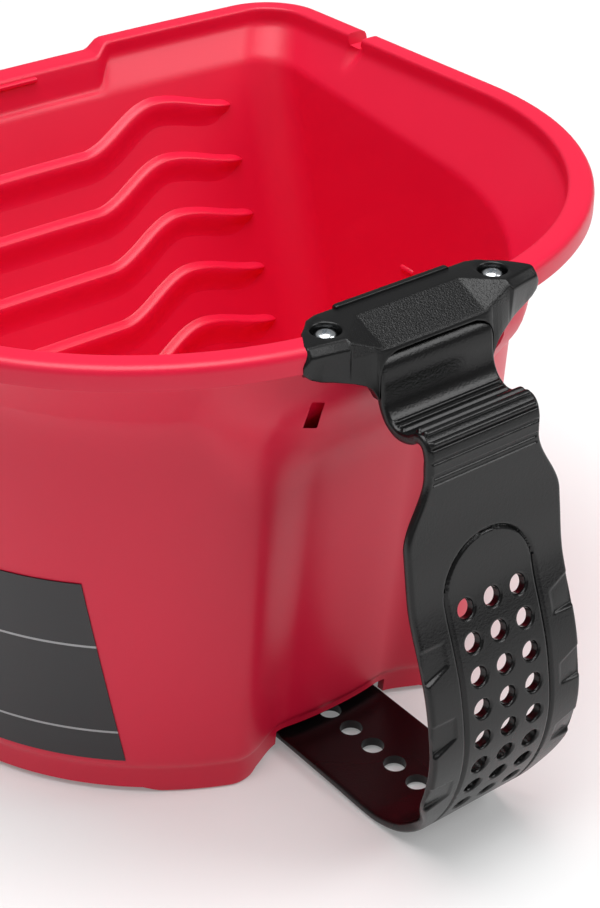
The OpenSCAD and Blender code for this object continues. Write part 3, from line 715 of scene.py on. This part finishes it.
# %% Ears, loft and screw bores
end_depth, end_radius, ear_start = 0.4, 0.85, 27.0
end_way = np.clip((reach - end_start) / end_radius, 0, 1)
end_shrink = end_depth * (1 - np.sqrt(1 - end_way ** 2))
inward = bracket_rows.mean(axis=0, keepdims=True) - bracket_rows
inward /= np.maximum(np.linalg.norm(inward, axis=-1, keepdims=True), 1e-6)
bracket_rows += inward * end_shrink[None, :, None]
bracket_rows[:, :, 1] += np.sign(loft_y) * ear_reach * ease((reach - ear_start) / (bracket_half - ear_start))


def add_loft(name, rows, crease=35):
    """A closed mesh of rows that run along a piece, with a flat face at each end."""
    count, stations = rows.shape[:2]
    end = np.arange(count) * stations
    ends = [end, (end + stations - 1)[::-1]]
    return add_piece(name, rows, grid_quads(count, stations, True, False), ends, crease)


rim_bracket = add_loft("rim_bracket", bracket_rows, crease=32)
screw_x, screw_y, screw_seat = rim_x - 8, 25.0, rim_z - 2.4
bore = [[3.55, screw_seat], [3.55, bracket_top - 0.45], [3.75, bracket_top - 0.12],
        [4.3, bracket_top + 0.2], [4.3, bracket_top + 3]]
bores = [lathe(bore, [screw_x, turn * screw_y, 0]) for turn in (-1, 1)]
carve(rim_bracket, add_tubes("bore_cutter", bores), 32)

# %% [markdown]
# A thin strip along the bracket's inner edge stands a little proud of its top and covers the magnet behind
# it. The screws are zinc-plated pan heads with a cross recess, turned on the lathe and cut with a cross.

# %% Magnet strip and screws
strip_y = np.concatenate([[-17, -16.9, -16.6], np.linspace(-16, 16, 9), [16.6, 16.9, 17]])
strip_inset = np.interp(np.abs(strip_y), [16, 16.6, 16.9, 17], [0, 0.08, 0.25, 0.45])
strip_section = [[68.55, 135], [68.55, 141.3], [70.2, 141.3], [70.2, 140.5], [70.2, 135]]
strip_x, strip_z = np.array(strip_section).T[:, :, None]
strip_draw = np.where(strip_x < 69, 0.45, -0.45) * strip_inset
strip_fall = np.where(strip_z > bracket_top + 0.4, strip_inset, 0)
strip_knots = np.stack(np.broadcast_arrays(strip_x + strip_draw, strip_y, strip_z - strip_fall), axis=-1)
strip_loop = (strip_knots[-1:] + strip_knots[:1]) / 2
strip_rounds, strip_splits = [0, 0.2, 0.5, 0.35, 0, 0.2, 0], [1, 2, 1, 1, 2, 1]
strip_path = np.concatenate([strip_loop, strip_knots, strip_loop])
strip_rows = rounded_profile(strip_path, strip_rounds, strip_splits)
magnet_strip = add_loft("magnet_strip", strip_rows[:-1])

dome = np.linspace(0, 1, 9)
head_radius, head_edge, head_rise = 2.55, 0.95, 1.15
head = [[0.9, -10], [1.3, -9], [1.3, -0.02], [2.35, 0], [head_radius, 0.2], [head_radius, head_edge]]
head += [[head_radius * math.cos(v * math.pi / 2 * 0.93), head_edge + head_rise * math.sin(v * math.pi / 2)]
         for v in dome[1:]]
cross_low, cross_high = (0.75, 0.24, 0.9), (1.5, 0.42, 2.6)
cross_corners = np.array([[-1, -1], [1, -1], [1, 1], [-1, 1]])
screws = []
for label, turn in (("near", -1), ("far", 1)):
    place = [screw_x, turn * screw_y, screw_seat]
    screw = add_tubes("screw_" + label, [lathe(head, place, segments=64)])
    for spin in (20, 110):
        a = math.radians(spin)
        turned = np.array([[math.cos(a), math.sin(a), 0], [-math.sin(a), math.cos(a), 0]])
        ends = [place + cross_corners * [half_long, half_wide] @ turned + [0, 0, z]
                for half_long, half_wide, z in (cross_low, cross_high)]
        carve(screw, add_tubes("cross_cutter", [ends]), 35)
    screws.append(screw)

# %% [markdown]
# ## Strap: its line
# Seen from the side, the strap leaves the bracket, dips, climbs over a crest of flexing ribs, falls down the
# grip, turns under the heel and runs below the floor. A smooth curve goes through points on its outer face.
# It is then read by its length, so that ribs and holes keep their size.

# %% Strap line through its points
neck_line = [[-5.5, -6.2], [-2.6, -6], [0, -6.6], [1.6, -8.4], [2.3, -11.4], [2.6, -14.4], [3.4, -17.6],
             [5.1, -20.2], [7.8, -21.6], [10.8, -21.2], [13.4, -19.7], [16, -19.6], [18.1, -21.3],
             [19.1, -24.4], [19.2, -28.2], [20.1, -40.6], [21.4, -50.6]]
grip_line = [[-9.8, 81], [-8.3, 75.5], [-5.3, 67.5], [-2.6, 59.2], [-0.9, 50.7], [0, 42], [-0.8, 33.7],
             [-2.9, 25.9], [-6.5, 18], [-12, 9.8], [-19, 4]]
tail_line = [[5.5, 1], [-1.5, 0.4], [-13.5, 0.8], [-35.5, 1.2], [-61.5, 1.6]]
strap_points = np.concatenate([np.array(neck_line) + [rim_x, rim_z], np.array(grip_line) + [grip_x, 0],
                               np.array(tail_line) + [rim_x, 0]])


def strap_curve(t):
    """A cubic between points b and c that leans on their neighbours a and d: at b and c it runs parallel to
    the line between the points on either side."""
    last = len(strap_points) - 1
    i = np.minimum(np.floor(t).astype(int), last - 1)
    u = (t - i)[:, None]
    a, b, c, d = (strap_points[np.clip(i + k, 0, last)] for k in (-1, 0, 1, 2))
    bend, twist = 2 * a - 5 * b + 4 * c - d, 3 * b - a - 3 * c + d
    return 0.5 * (2 * b + (c - a) * u + bend * u ** 2 + twist * u ** 3)


fine_t = np.linspace(0, len(strap_points) - 1, 6001)
fine_xz = strap_curve(fine_t)
fine_s = np.concatenate([[0], np.cumsum(np.linalg.norm(np.diff(fine_xz, axis=0), axis=1))])


def strap_at(s):
    """Point and outward direction of the outer face at length s along the strap."""
    xz = np.stack([np.interp(s, fine_s, fine_xz[:, k]) for k in (0, 1)], axis=-1)
    slope = np.stack([np.interp(s, fine_s, np.gradient(fine_xz[:, k], fine_s)) for k in (0, 1)], axis=-1)
    slope /= np.linalg.norm(slope, axis=-1, keepdims=True)
    return xz, np.stack([-slope[:, 1], slope[:, 0]], axis=-1)


def length_at(t):
    """Length along the strap at point number t."""
    return np.interp(t, fine_t, fine_s)


print("strap", round(fine_s[-1], 1), "mm long")

# %% [markdown]
# ## Strap: its surface
# The strap is a flat bar with rounded edges, so it is a section carried along the line. On its outer face
# lie the ribs of the neck, a groove round the field of air holes, and three scoops in each edge. They are
# heights and depths worked out from the distance along and across, and added to the face as it is bent to
# the line.

# %% Width of the strap
neck_half, grip_half, strap_wall = 17.0, 23.7, 2.6
end_length, end_corner = 8.0, 5.0
shoulder_z, wide_z, narrow_z, heel_z = rim_z - 29, rim_z - 46, 28.0, 8.0


def half_width(s, z):
    """Neck width, eased out to the grip and back at the heel, with round corners under the bracket."""
    half = neck_half + (grip_half - neck_half) * (ease((shoulder_z - z) / (shoulder_z - wide_z))
                                                  - ease((narrow_z - z) / (narrow_z - heel_z)))
    gap = np.clip(end_length - s, 0, end_corner)
    return half - end_corner + np.sqrt(end_corner ** 2 - gap ** 2)


def bump(s, middle, width):
    """A round ridge of height 1 and the given full width."""
    return np.sqrt(np.clip(1 - (2 * (s - middle) / width) ** 2, 0, 1))

# %% [markdown]
# The details' places are given in numbers of the strap's own points, where 7.5 is half way from point 7 to
# point 8. So they stay in place on the line if a point is moved.

# %% Ridges, bands, groove and scoops
flex_t = [7.35, 7.8, 8.25, 10.05, 10.85, 11.95]
flex_width = [1.1, 1.1, 1.1, 1.7, 1.7, 1.6]
flex_height = [0.6, 0.6, 0.6, 0.85, 0.85, 0.8]
flex_margin = 0.9
band_t = [(12.3, 13.12), (13.35, 14.02)]
band_height, band_margin, band_round = 0.4, 0.6, 0.5
crease_t = [14.12, 14.26]
crease_depth, crease_width, crease_margin = 0.35, 0.7, 1.2
groove_half, groove_width, groove_depth, groove_room = 13.8, 0.85, 0.8, 20.0
groove_s = length_at(17.0) + 2.0
scoop_s = [length_at(18.6), length_at(20.8), length_at(23.0)]
scoop_length, scoop_slant, scoop_edge, scoop_shallow, scoop_deep = 6.4, 2.8, 16.8, 0.35, 0.95
scoop_start, scoop_end, scoop_side, scoop_least = 0.6, 0.9, 0.7, 0.4


def relief(s, y, half):
    """Height above the plain face: neck ridges and bands, less creases, groove and edge scoops."""
    height = np.zeros(np.broadcast(s, y).shape)
    for t, width, up in zip(flex_t, flex_width, flex_height):
        inset = np.clip((neck_half - flex_margin - np.abs(y)) / (width / 2), 0, 1)
        height = np.maximum(height, up * bump(s, length_at(t), width) * np.sqrt(1 - (1 - inset) ** 2))
    for first, last in band_t:
        inset = np.minimum(s - length_at(first), length_at(last) - s)
        inset = np.clip(np.minimum(inset, neck_half - band_margin - np.abs(y)) / band_round, 0, 1)
        height = np.maximum(height, band_height * np.sqrt(1 - (1 - inset) ** 2))
    for t in crease_t:
        height -= crease_depth * bump(s, length_at(t), crease_width) * (np.abs(y) < half - crease_margin)
    ring = np.where(s > groove_s, np.abs(y), np.hypot(y, s - groove_s))
    groove = np.exp(-((ring - groove_half) / (groove_width / 2)) ** 4)
    height -= groove_depth * groove * (s > groove_s - groove_room)
    for start in scoop_s:
        out = np.clip((np.abs(y) - scoop_edge) / (grip_half - scoop_edge), 0, 1)
        first = np.where(y < 0, start, start - scoop_slant * out)
        last = np.where(y < 0, start + scoop_length + scoop_slant * out, start + scoop_length)
        inside = ease((s - first) / scoop_start) * ease((last - s) / scoop_end)
        inside = inside * ease((np.abs(y) - scoop_edge + 0.2) / scoop_side)
        ramp = scoop_least + (1 - scoop_least) * np.clip((s - first) / (last - first), 0, 1)
        height -= (scoop_shallow + scoop_deep * out) * ramp * inside
    return height

# %% [markdown]
# The section's points go once round the bar. The detail is finest across the outer face, where the groove
# and ridges are. Upper and lower strap are two meshes that meet in the stiff lower grip.

# %% Section of the strap, carried along its line
edge_round = 0.9
turn_angle = np.linspace(0, np.pi / 2, 6)[1:-1]


def strap_section(half, count_out, count_in):
    """Across and depth of the section's points: outer face, round edge, inner face, round edge."""
    flat = half - edge_round
    outer = np.linspace(-1, 1, count_out)[None] * flat[:, None]
    inner = np.linspace(1, -1, count_in)[None] * flat[:, None]
    top_y = flat[:, None] + edge_round * np.sin(turn_angle)[None]
    top_d = np.broadcast_to(edge_round * (1 - np.cos(turn_angle)), top_y.shape)
    low_y = top_y[:, ::-1]
    low_d = strap_wall - top_d[:, ::-1]
    side_y = flat[:, None] + edge_round
    side_d = np.zeros_like(side_y) + [edge_round, strap_wall - edge_round]
    edge_y = np.concatenate([top_y, side_y, side_y, low_y], axis=1)
    edge_d = np.concatenate([top_d, side_d, low_d], axis=1)
    across = np.concatenate([outer, edge_y, inner, -edge_y[:, ::-1]], axis=1)
    depth = np.concatenate([0 * outer, edge_d, 0 * inner + strap_wall, edge_d[:, ::-1]], axis=1)
    return across, depth


def strap_mesh(name, s, count_out, count_in):
    """Section points set out from the line: place + outward * (relief - depth), and across as Y."""
    xz, out = strap_at(s)
    half = half_width(s, xz[:, 1])
    across, depth = strap_section(half, count_out, count_in)
    raised = relief(s[:, None], across, half[:, None]) * np.clip(1 - depth / edge_round, 0, 1)
    lift = raised - depth
    points = np.stack([xz[:, :1] + out[:, :1] * lift, across, xz[:, 1:] + out[:, 1:] * lift], axis=-1)
    return add_tubes(name, [points], crease=50)

# %% [markdown]
# The rows lie closest where the ridges are. The air holes are cut square to the bent strap and have rounded
# mouths, and the holes for the peg go straight through the flat tail.

# %% Upper and lower strap with their holes
def hole_stack(t, y, radius, flared, deep=0.9):
    """A round cutter square to the strap, whose mouth widens as r + flared (1 - sqrt(1 - u^2)) over deep."""
    xz, out = strap_at(np.atleast_1d(length_at(t)))
    u = np.linspace(0, 1, 6)
    mouth = np.stack([radius + flared * (1 - np.sqrt(1 - u ** 2 * 0.98)), -deep + deep * u], axis=-1)
    profile = np.concatenate([[[radius, -6]], mouth, [[mouth[-1, 0], 4]]])
    return lathe(profile, [xz[0, 0], y, xz[0, 1]], [out[0, 0], 0, out[0, 1]], 40)


ridge_step, grip_step, plain_step = 0.17, 0.3, 0.8


def strap_steps(end):
    """Lengths from 0 to end, closest over the ridges, close on the grip and wide apart elsewhere."""
    s = np.linspace(0, end, 4001)
    ridged = (s > length_at(6.8)) & (s < length_at(14.5))
    on_grip = s > groove_s - groove_half - 2
    step = np.where(ridged, ridge_step, np.where(on_grip, grip_step, plain_step))
    rows = np.concatenate([[0], np.cumsum(np.diff(s) / step[1:])])
    return np.interp(np.linspace(0, rows[-1], int(rows[-1]) + 1), rows, s)


seam_t = 25.55
strap_upper = strap_mesh("strap_upper", strap_steps(length_at(seam_t)), 113, 12)
strap_lower = strap_mesh("strap_lower", np.linspace(length_at(seam_t), fine_s[-1], 150), 95, 30)
air_t, air_rows, air_y, air_radius, air_flare = 18, 8, 8.25, 2.4, 0.75
air_holes = [hole_stack(air_t + row, y, air_radius, air_flare) for row in range(air_rows)
             for y in (-air_y, 0, air_y)]
carve(strap_upper, add_tubes("air_cutter", air_holes))
hook_first, hook_pitch, hook_count, hook_radius = rim_x + 0.4, 9.1, 7, 3.1
hook_profile = [[hook_radius, -9], [hook_radius, 9]]
hook_holes = [lathe(hook_profile, [hook_first - k * hook_pitch, 0, 0]) for k in range(hook_count)]
carve(strap_lower, add_tubes("hook_cutter", hook_holes))

# %% [markdown]
# ## Finishes
# All plastics here share two effects: a fine moulded grain, and a slow change of gloss from handling. Each
# is a node group that reads Object coordinates, so the pattern keeps its real size on every piece. A few
# short helpers add nodes with their values and join them, so that a finish reads as a list of steps.

# %% Helpers for shader nodes
def set_inputs(node, values):
    """Sets input values by name, where an underscore stands for a space."""
    for name, value in values.items():
        node.inputs[name.replace("_", " ")].default_value = value
    return node


def add_node(tree, kind, **values):
    """A shader node of the given kind with its input values."""
    return set_inputs(tree.nodes.new("ShaderNode" + kind), values)


def add_math(tree, operation, *values):
    """A math node. Its values come in order, and None is left for a link."""
    node = tree.nodes.new("ShaderNodeMath")
    node.operation = operation
    for socket, value in zip(node.inputs, values):
        if value is not None:
            socket.default_value = value
    return node


def join(tree, *steps):
    """Links an output to an input for each step of node, output, node and input."""
    for source, output, target, name in steps:
        tree.links.new(source.outputs[output], target.inputs[name])


def new_group(name, inputs, outputs):
    """An empty shader group with float inputs (name, value) and float outputs."""
    tree = bpy.data.node_groups.new(name, "ShaderNodeTree")
    for label, value in inputs:
        tree.interface.new_socket(label, in_out="INPUT", socket_type="NodeSocketFloat").default_value = value
    for label in outputs:
        tree.interface.new_socket(label, in_out="OUTPUT", socket_type="NodeSocketFloat")
    return tree, tree.nodes.new("NodeGroupInput"), tree.nodes.new("NodeGroupOutput")

# %% Shared grain and handling groups
grain, grain_in, grain_out = new_group("moulded_grain", [("Scale", 1500.0), ("Cells", 900.0)], ["Height"])
grain_place = add_node(grain, "TexCoord")
grain_noise = add_node(grain, "TexNoise", Detail=2.0)
grain_cells = add_node(grain, "TexVoronoi")
grain_cells.feature = "SMOOTH_F1"
grain_sum = add_math(grain, "MULTIPLY_ADD", None, 0.6)
join(grain, (grain_place, "Object", grain_noise, "Vector"), (grain_place, "Object", grain_cells, "Vector"),
     (grain_in, "Scale", grain_noise, "Scale"), (grain_in, "Cells", grain_cells, "Scale"),
     (grain_cells, "Distance", grain_sum, 0), (grain_noise, "Fac", grain_sum, 2),
     (grain_sum, "Value", grain_out, "Height"))

mask_low, mask_high = 0.2, 0.8
handling, handling_in, handling_out = new_group(
    "handling_gloss", [("Scale", 18.0), ("Low", 0.3), ("High", 0.42)], ["Roughness", "Mask"])
handling_place = add_node(handling, "TexCoord")
handling_noise = add_node(handling, "TexNoise", Detail=2.0, Roughness=0.5)
handling_range = add_node(handling, "MapRange", From_Min=mask_low, From_Max=mask_high)
join(handling, (handling_place, "Object", handling_noise, "Vector"),
     (handling_in, "Scale", handling_noise, "Scale"), (handling_noise, "Fac", handling_range, "Value"),
     (handling_in, "Low", handling_range, "To Min"), (handling_in, "High", handling_range, "To Max"),
     (handling_range, "Result", handling_out, "Roughness"), (handling_noise, "Fac", handling_out, "Mask"))
print("groups", [g.name for g in bpy.data.node_groups])

# %% [markdown]
# The plastics differ in colour, gloss and depth of grain, so one function sets up a material from these. The
# colour moves a little between two tones with the handling mask, as on a moulding that has been carried.

# %% Moulded plastics
def new_material(name):
    """A material with its node tree and its Principled shader."""
    material = bpy.data.materials.new(name)
    material.use_nodes = True
    return material, material.node_tree, material.node_tree.nodes["Principled BSDF"]


def add_group(tree, group, **values):
    """A shared group placed in a material with its own input values."""
    node = tree.nodes.new("ShaderNodeGroup")
    node.node_tree = group
    return set_inputs(node, values)


def moulded(name, tones, gloss, grain_scale, cell_scale, depth, shine=0.5):
    """A Principled plastic: two tones by the handling mask, roughness from it, bump from the grain."""
    material, tree, shader = new_material(name)
    set_inputs(shader, {"Specular IOR Level": shine})
    wear = add_group(tree, handling, Low=gloss[0], High=gloss[1])
    ramp = add_node(tree, "ValToRGB")
    for element, position, tone in zip(ramp.color_ramp.elements, (mask_low, mask_high), tones):
        element.position = position
        element.color = (*tone, 1.0)
    texture = add_group(tree, grain, Scale=grain_scale, Cells=cell_scale)
    bumps = add_node(tree, "Bump", Strength=1.0, Distance=depth * MM)
    join(tree, (wear, "Mask", ramp, "Fac"), (ramp, "Color", shader, "Base Color"),
         (wear, "Roughness", shader, "Roughness"), (texture, "Height", bumps, "Height"),
         (bumps, "Normal", shader, "Normal"))
    return material


red_tones = [(0.76, 0.004, 0.042), (0.80, 0.005, 0.048)]
black_tones = [(0.002, 0.002, 0.0022), (0.004, 0.004, 0.0043)]
film_tones = [(0.014, 0.014, 0.016), (0.018, 0.018, 0.020)]
red_plastic = moulded("red_moulded_plastic", red_tones, (0.36, 0.42), 1400, 900, 0.002)
black_plastic = moulded("black_grained_plastic", black_tones, (0.24, 0.32), 3000, 2200, 0.14, shine=0.38)
strap_rubber = moulded("black_strap_rubber", black_tones, (0.22, 0.30), 2600, 1700, 0.04, shine=0.36)
film = moulded("label_film", film_tones, (0.30, 0.40), 1800, 1200, 0.008)
print("plastics", [m.name for m in (red_plastic, black_plastic, strap_rubber, film)])

# %% [markdown]
# On the bracket, only the thumb rest between the screws has the deep grain. Three comparisons find the rest
# from its place on the part, and lower the grain elsewhere.

# %% Deep grain on the thumb rest
rest_tree = black_plastic.node_tree
rest_place = add_node(rest_tree, "TexCoord")
rest_split = add_node(rest_tree, "SeparateXYZ")
join(rest_tree, (rest_place, "Object", rest_split, "Vector"))
rest_mask = None
for axis, middle, half in (("X", 80.2, 5.3), ("Y", 0.0, 23.3), ("Z", 138.3, 2.2)):
    near_middle = add_math(rest_tree, "COMPARE", None, middle * MM, half * MM)
    join(rest_tree, (rest_split, axis, near_middle, 0))
    if rest_mask is not None:
        both = add_math(rest_tree, "MULTIPLY")
        join(rest_tree, (rest_mask, "Value", both, 0), (near_middle, "Value", both, 1))
        near_middle = both
    rest_mask = near_middle
rest_depth = add_node(rest_tree, "MapRange", To_Min=0.2, To_Max=1.0)
rest_height = add_math(rest_tree, "MULTIPLY")
rest_bump = next(node for node in rest_tree.nodes if node.type == "BUMP")
rest_grain = rest_bump.inputs["Height"].links[0].from_node
join(rest_tree, (rest_mask, "Value", rest_depth, "Value"), (rest_grain, "Height", rest_height, 0),
     (rest_depth, "Result", rest_height, 1), (rest_height, "Value", rest_bump, "Height"))
print("thumb rest", len(rest_tree.nodes), "nodes")

# %% [markdown]
# The screws are plated steel and the magnet is plain dark iron, both with a fine uneven gloss. The film is
# dark, with two pale printed lines that follow its own map.

# %% Metal and film
def metal(name, colour, gloss, stretched):
    """A metal whose roughness and bump come from noise, with its own scale along each axis."""
    material, tree, shader = new_material(name)
    set_inputs(shader, {"Base Color": (*colour, 1.0), "Metallic": 1.0})
    place = add_node(tree, "TexCoord")
    mapping = add_node(tree, "Mapping", Scale=stretched)
    noise = add_node(tree, "TexNoise", Scale=900.0)
    spread = add_node(tree, "MapRange", To_Min=gloss[0], To_Max=gloss[1])
    bumps = add_node(tree, "Bump", Distance=0.01 * MM)
    join(tree, (place, "Object", mapping, "Vector"), (mapping, "Vector", noise, "Vector"),
         (noise, "Fac", spread, "Value"), (spread, "Result", shader, "Roughness"),
         (noise, "Fac", bumps, "Height"), (bumps, "Normal", shader, "Normal"))
    return material


zinc_plate = metal("zinc_plate", (0.74, 0.77, 0.80), (0.16, 0.30), (1.0, 1.0, 3.0))
magnet_iron = metal("magnet_iron", (0.30, 0.30, 0.31), (0.40, 0.60), (1.0, 1.0, 1.0))

film_tree = film.node_tree
film_tone = next(node for node in film_tree.nodes if node.type == "VALTORGB")
film_place = add_node(film_tree, "UVMap")
film_place.uv_map = "film"
film_split = add_node(film_tree, "SeparateXYZ")
film_stripes = add_node(film_tree, "ValToRGB")
film_ramp = film_stripes.color_ramp
film_ramp.interpolation = "CONSTANT"
for position, shade in ((0.163, 1.0), (0.174, 0.0), (0.652, 1.0), (0.663, 0.0)):
    film_ramp.elements.new(position).color = (shade, shade, shade, 1.0)
film_ramp.elements[-1].color = (0, 0, 0, 1)
film_mix = add_node(film_tree, "Mix")
film_mix.data_type = "RGBA"
set_inputs(film_mix, {"B": (0.42, 0.42, 0.43, 1.0)})
join(film_tree, (film_place, "UV", film_split, "Vector"), (film_split, "Y", film_stripes, "Fac"),
     (film_stripes, "Color", film_mix, "Factor"), (film_tone, "Color", film_mix, "A"),
     (film_mix, "Result", film_tree.nodes["Principled BSDF"], "Base Color"))
print("materials", [m.name for m in bpy.data.materials])

# %% [markdown]
# ## Who moves with whom
# Each piece rides on a body of the solid model, and the larger ones stand for the nodes they cover. The
# The pail's pieces ride on the pail body, and the larger ones stand for the nodes they cover. The strap's
# two meshes stand for its neck, grip and tail, ride on no body and have their place written into their
# points.
# The magnet is hidden in the bracket, so the solid itself only gets its finish.

# %% Dress the frame
def dress(piece, material, body=None, nodes=()):
    """Gives a piece its finish, its body and the solid nodes it stands for."""
    piece.data.materials.clear()
    piece.data.materials.append(material)
    if body:
        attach(piece, body)
    if nodes:
        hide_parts(*nodes)


dress(pail_shell, red_plastic, "pail", ["pail_shell"])
for moulding in (roll_off_ribs, hook_peg, liner_ledge, fill_mark):
    dress(moulding, red_plastic, "pail")
dress(label_film, film, "pail", ["wall_label"])
dress(rim_bracket, black_plastic, "pail", ["rim_bracket"])
dress(magnet_strip, black_plastic, "pail", ["magnet_cover"])
dress(screws[0], zinc_plate, "pail", ["screw_near"])
dress(screws[1], zinc_plate, "pail", ["screw_far"])
dress(strap_upper, strap_rubber, nodes=["strap_neck", "strap_grip"])
dress(strap_lower, strap_rubber, nodes=["strap_tail"])
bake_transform(strap_upper)
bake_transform(strap_lower)
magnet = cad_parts["brush_magnet"]
magnet.data.materials.clear()
magnet.data.materials.append(magnet_iron)
print("magnet", len(magnet.data.polygons), "faces kept from the solid")

# %% [markdown]
# ## Studio
# The picture has a white table, a white background and very soft light. The table is pale. What the camera
# and reflections see of it is lifted towards white, so that its shadows stay while the light on the pail
# stays plain.

# %% Table
table_half, table_z = 4.0, -0.0002
table_corners = [(x * table_half, y * table_half, table_z) for x, y in ((-1, -1), (1, -1), (1, 1), (-1, 1))]
floor_mesh = bpy.data.meshes.new("table")
floor_mesh.from_pydata(table_corners, [], [(0, 1, 2, 3)])
table = bpy.data.objects.new("table", floor_mesh)
bpy.context.scene.collection.objects.link(table)
table_paint, paint_tree, paint_shader = new_material("table_paint")
set_inputs(paint_shader, {"Base Color": (0.75, 0.75, 0.75, 1.0), "Roughness": 0.6})
paint_glow = add_node(paint_tree, "Emission")
paint_path = add_node(paint_tree, "LightPath")
paint_seen = add_math(paint_tree, "MAXIMUM")
paint_level = add_math(paint_tree, "MULTIPLY", None, 0.18)
paint_sum = add_node(paint_tree, "AddShader")
join(paint_tree, (paint_path, "Is Camera Ray", paint_seen, 0), (paint_path, "Is Glossy Ray", paint_seen, 1),
     (paint_seen, "Value", paint_level, 0), (paint_level, "Value", paint_glow, "Strength"),
     (paint_shader, "BSDF", paint_sum, 0), (paint_glow, "Emission", paint_sum, 1),
     (paint_sum, "Shader", paint_tree.nodes["Material Output"], "Surface"))
floor_mesh.materials.append(table_paint)
print("table", 2 * table_half, "m wide")

# %% [markdown]
# Wide lamps give the soft light: one above, a strong one from the right and a weak one from the left. The
# world is white to the camera and dimmer as a light.

# %% Lamps and world
def softbox(name, place, aim, size, power):
    """A square area lamp at place that faces aim."""
    lamp_data = bpy.data.lights.new(name, "AREA")
    lamp_data.shape = "RECTANGLE"
    lamp_data.size, lamp_data.size_y = size
    lamp_data.energy = power
    lamp = bpy.data.objects.new(name, lamp_data)
    lamp.location = place
    lamp.rotation_euler = (Vector(aim) - Vector(place)).to_track_quat("-Z", "Y").to_euler()
    bpy.context.scene.collection.objects.link(lamp)


softbox("top_softbox", (-0.1, -0.2, 2.3), (0.0, 0.0, 0.08), (2.0, 2.0), 60.0)
softbox("left_softbox", (0.5, -2.2, 1.5), (0.0, 0.0, 0.07), (1.4, 1.4), 3.0)
softbox("right_softbox", (1.7, 1.7, 2.1), (0.05, 0.0, 0.07), (1.4, 1.4), 30.0)

world = bpy.data.worlds.new("studio")
bpy.context.scene.world = world
world.use_nodes = True
room = set_inputs(world.node_tree.nodes["Background"], {"Color": (1, 1, 1, 1)})
world_path = add_node(world.node_tree, "LightPath")
world_seen = add_node(world.node_tree, "MapRange", To_Min=0.22, To_Max=1.0)
join(world.node_tree, (world_path, "Is Camera Ray", world_seen, "Value"),
     (world_seen, "Result", room, "Strength"))
bpy.context.scene.view_settings.view_transform = "Standard"
print("lamps", [lamp.name for lamp in bpy.data.lights])
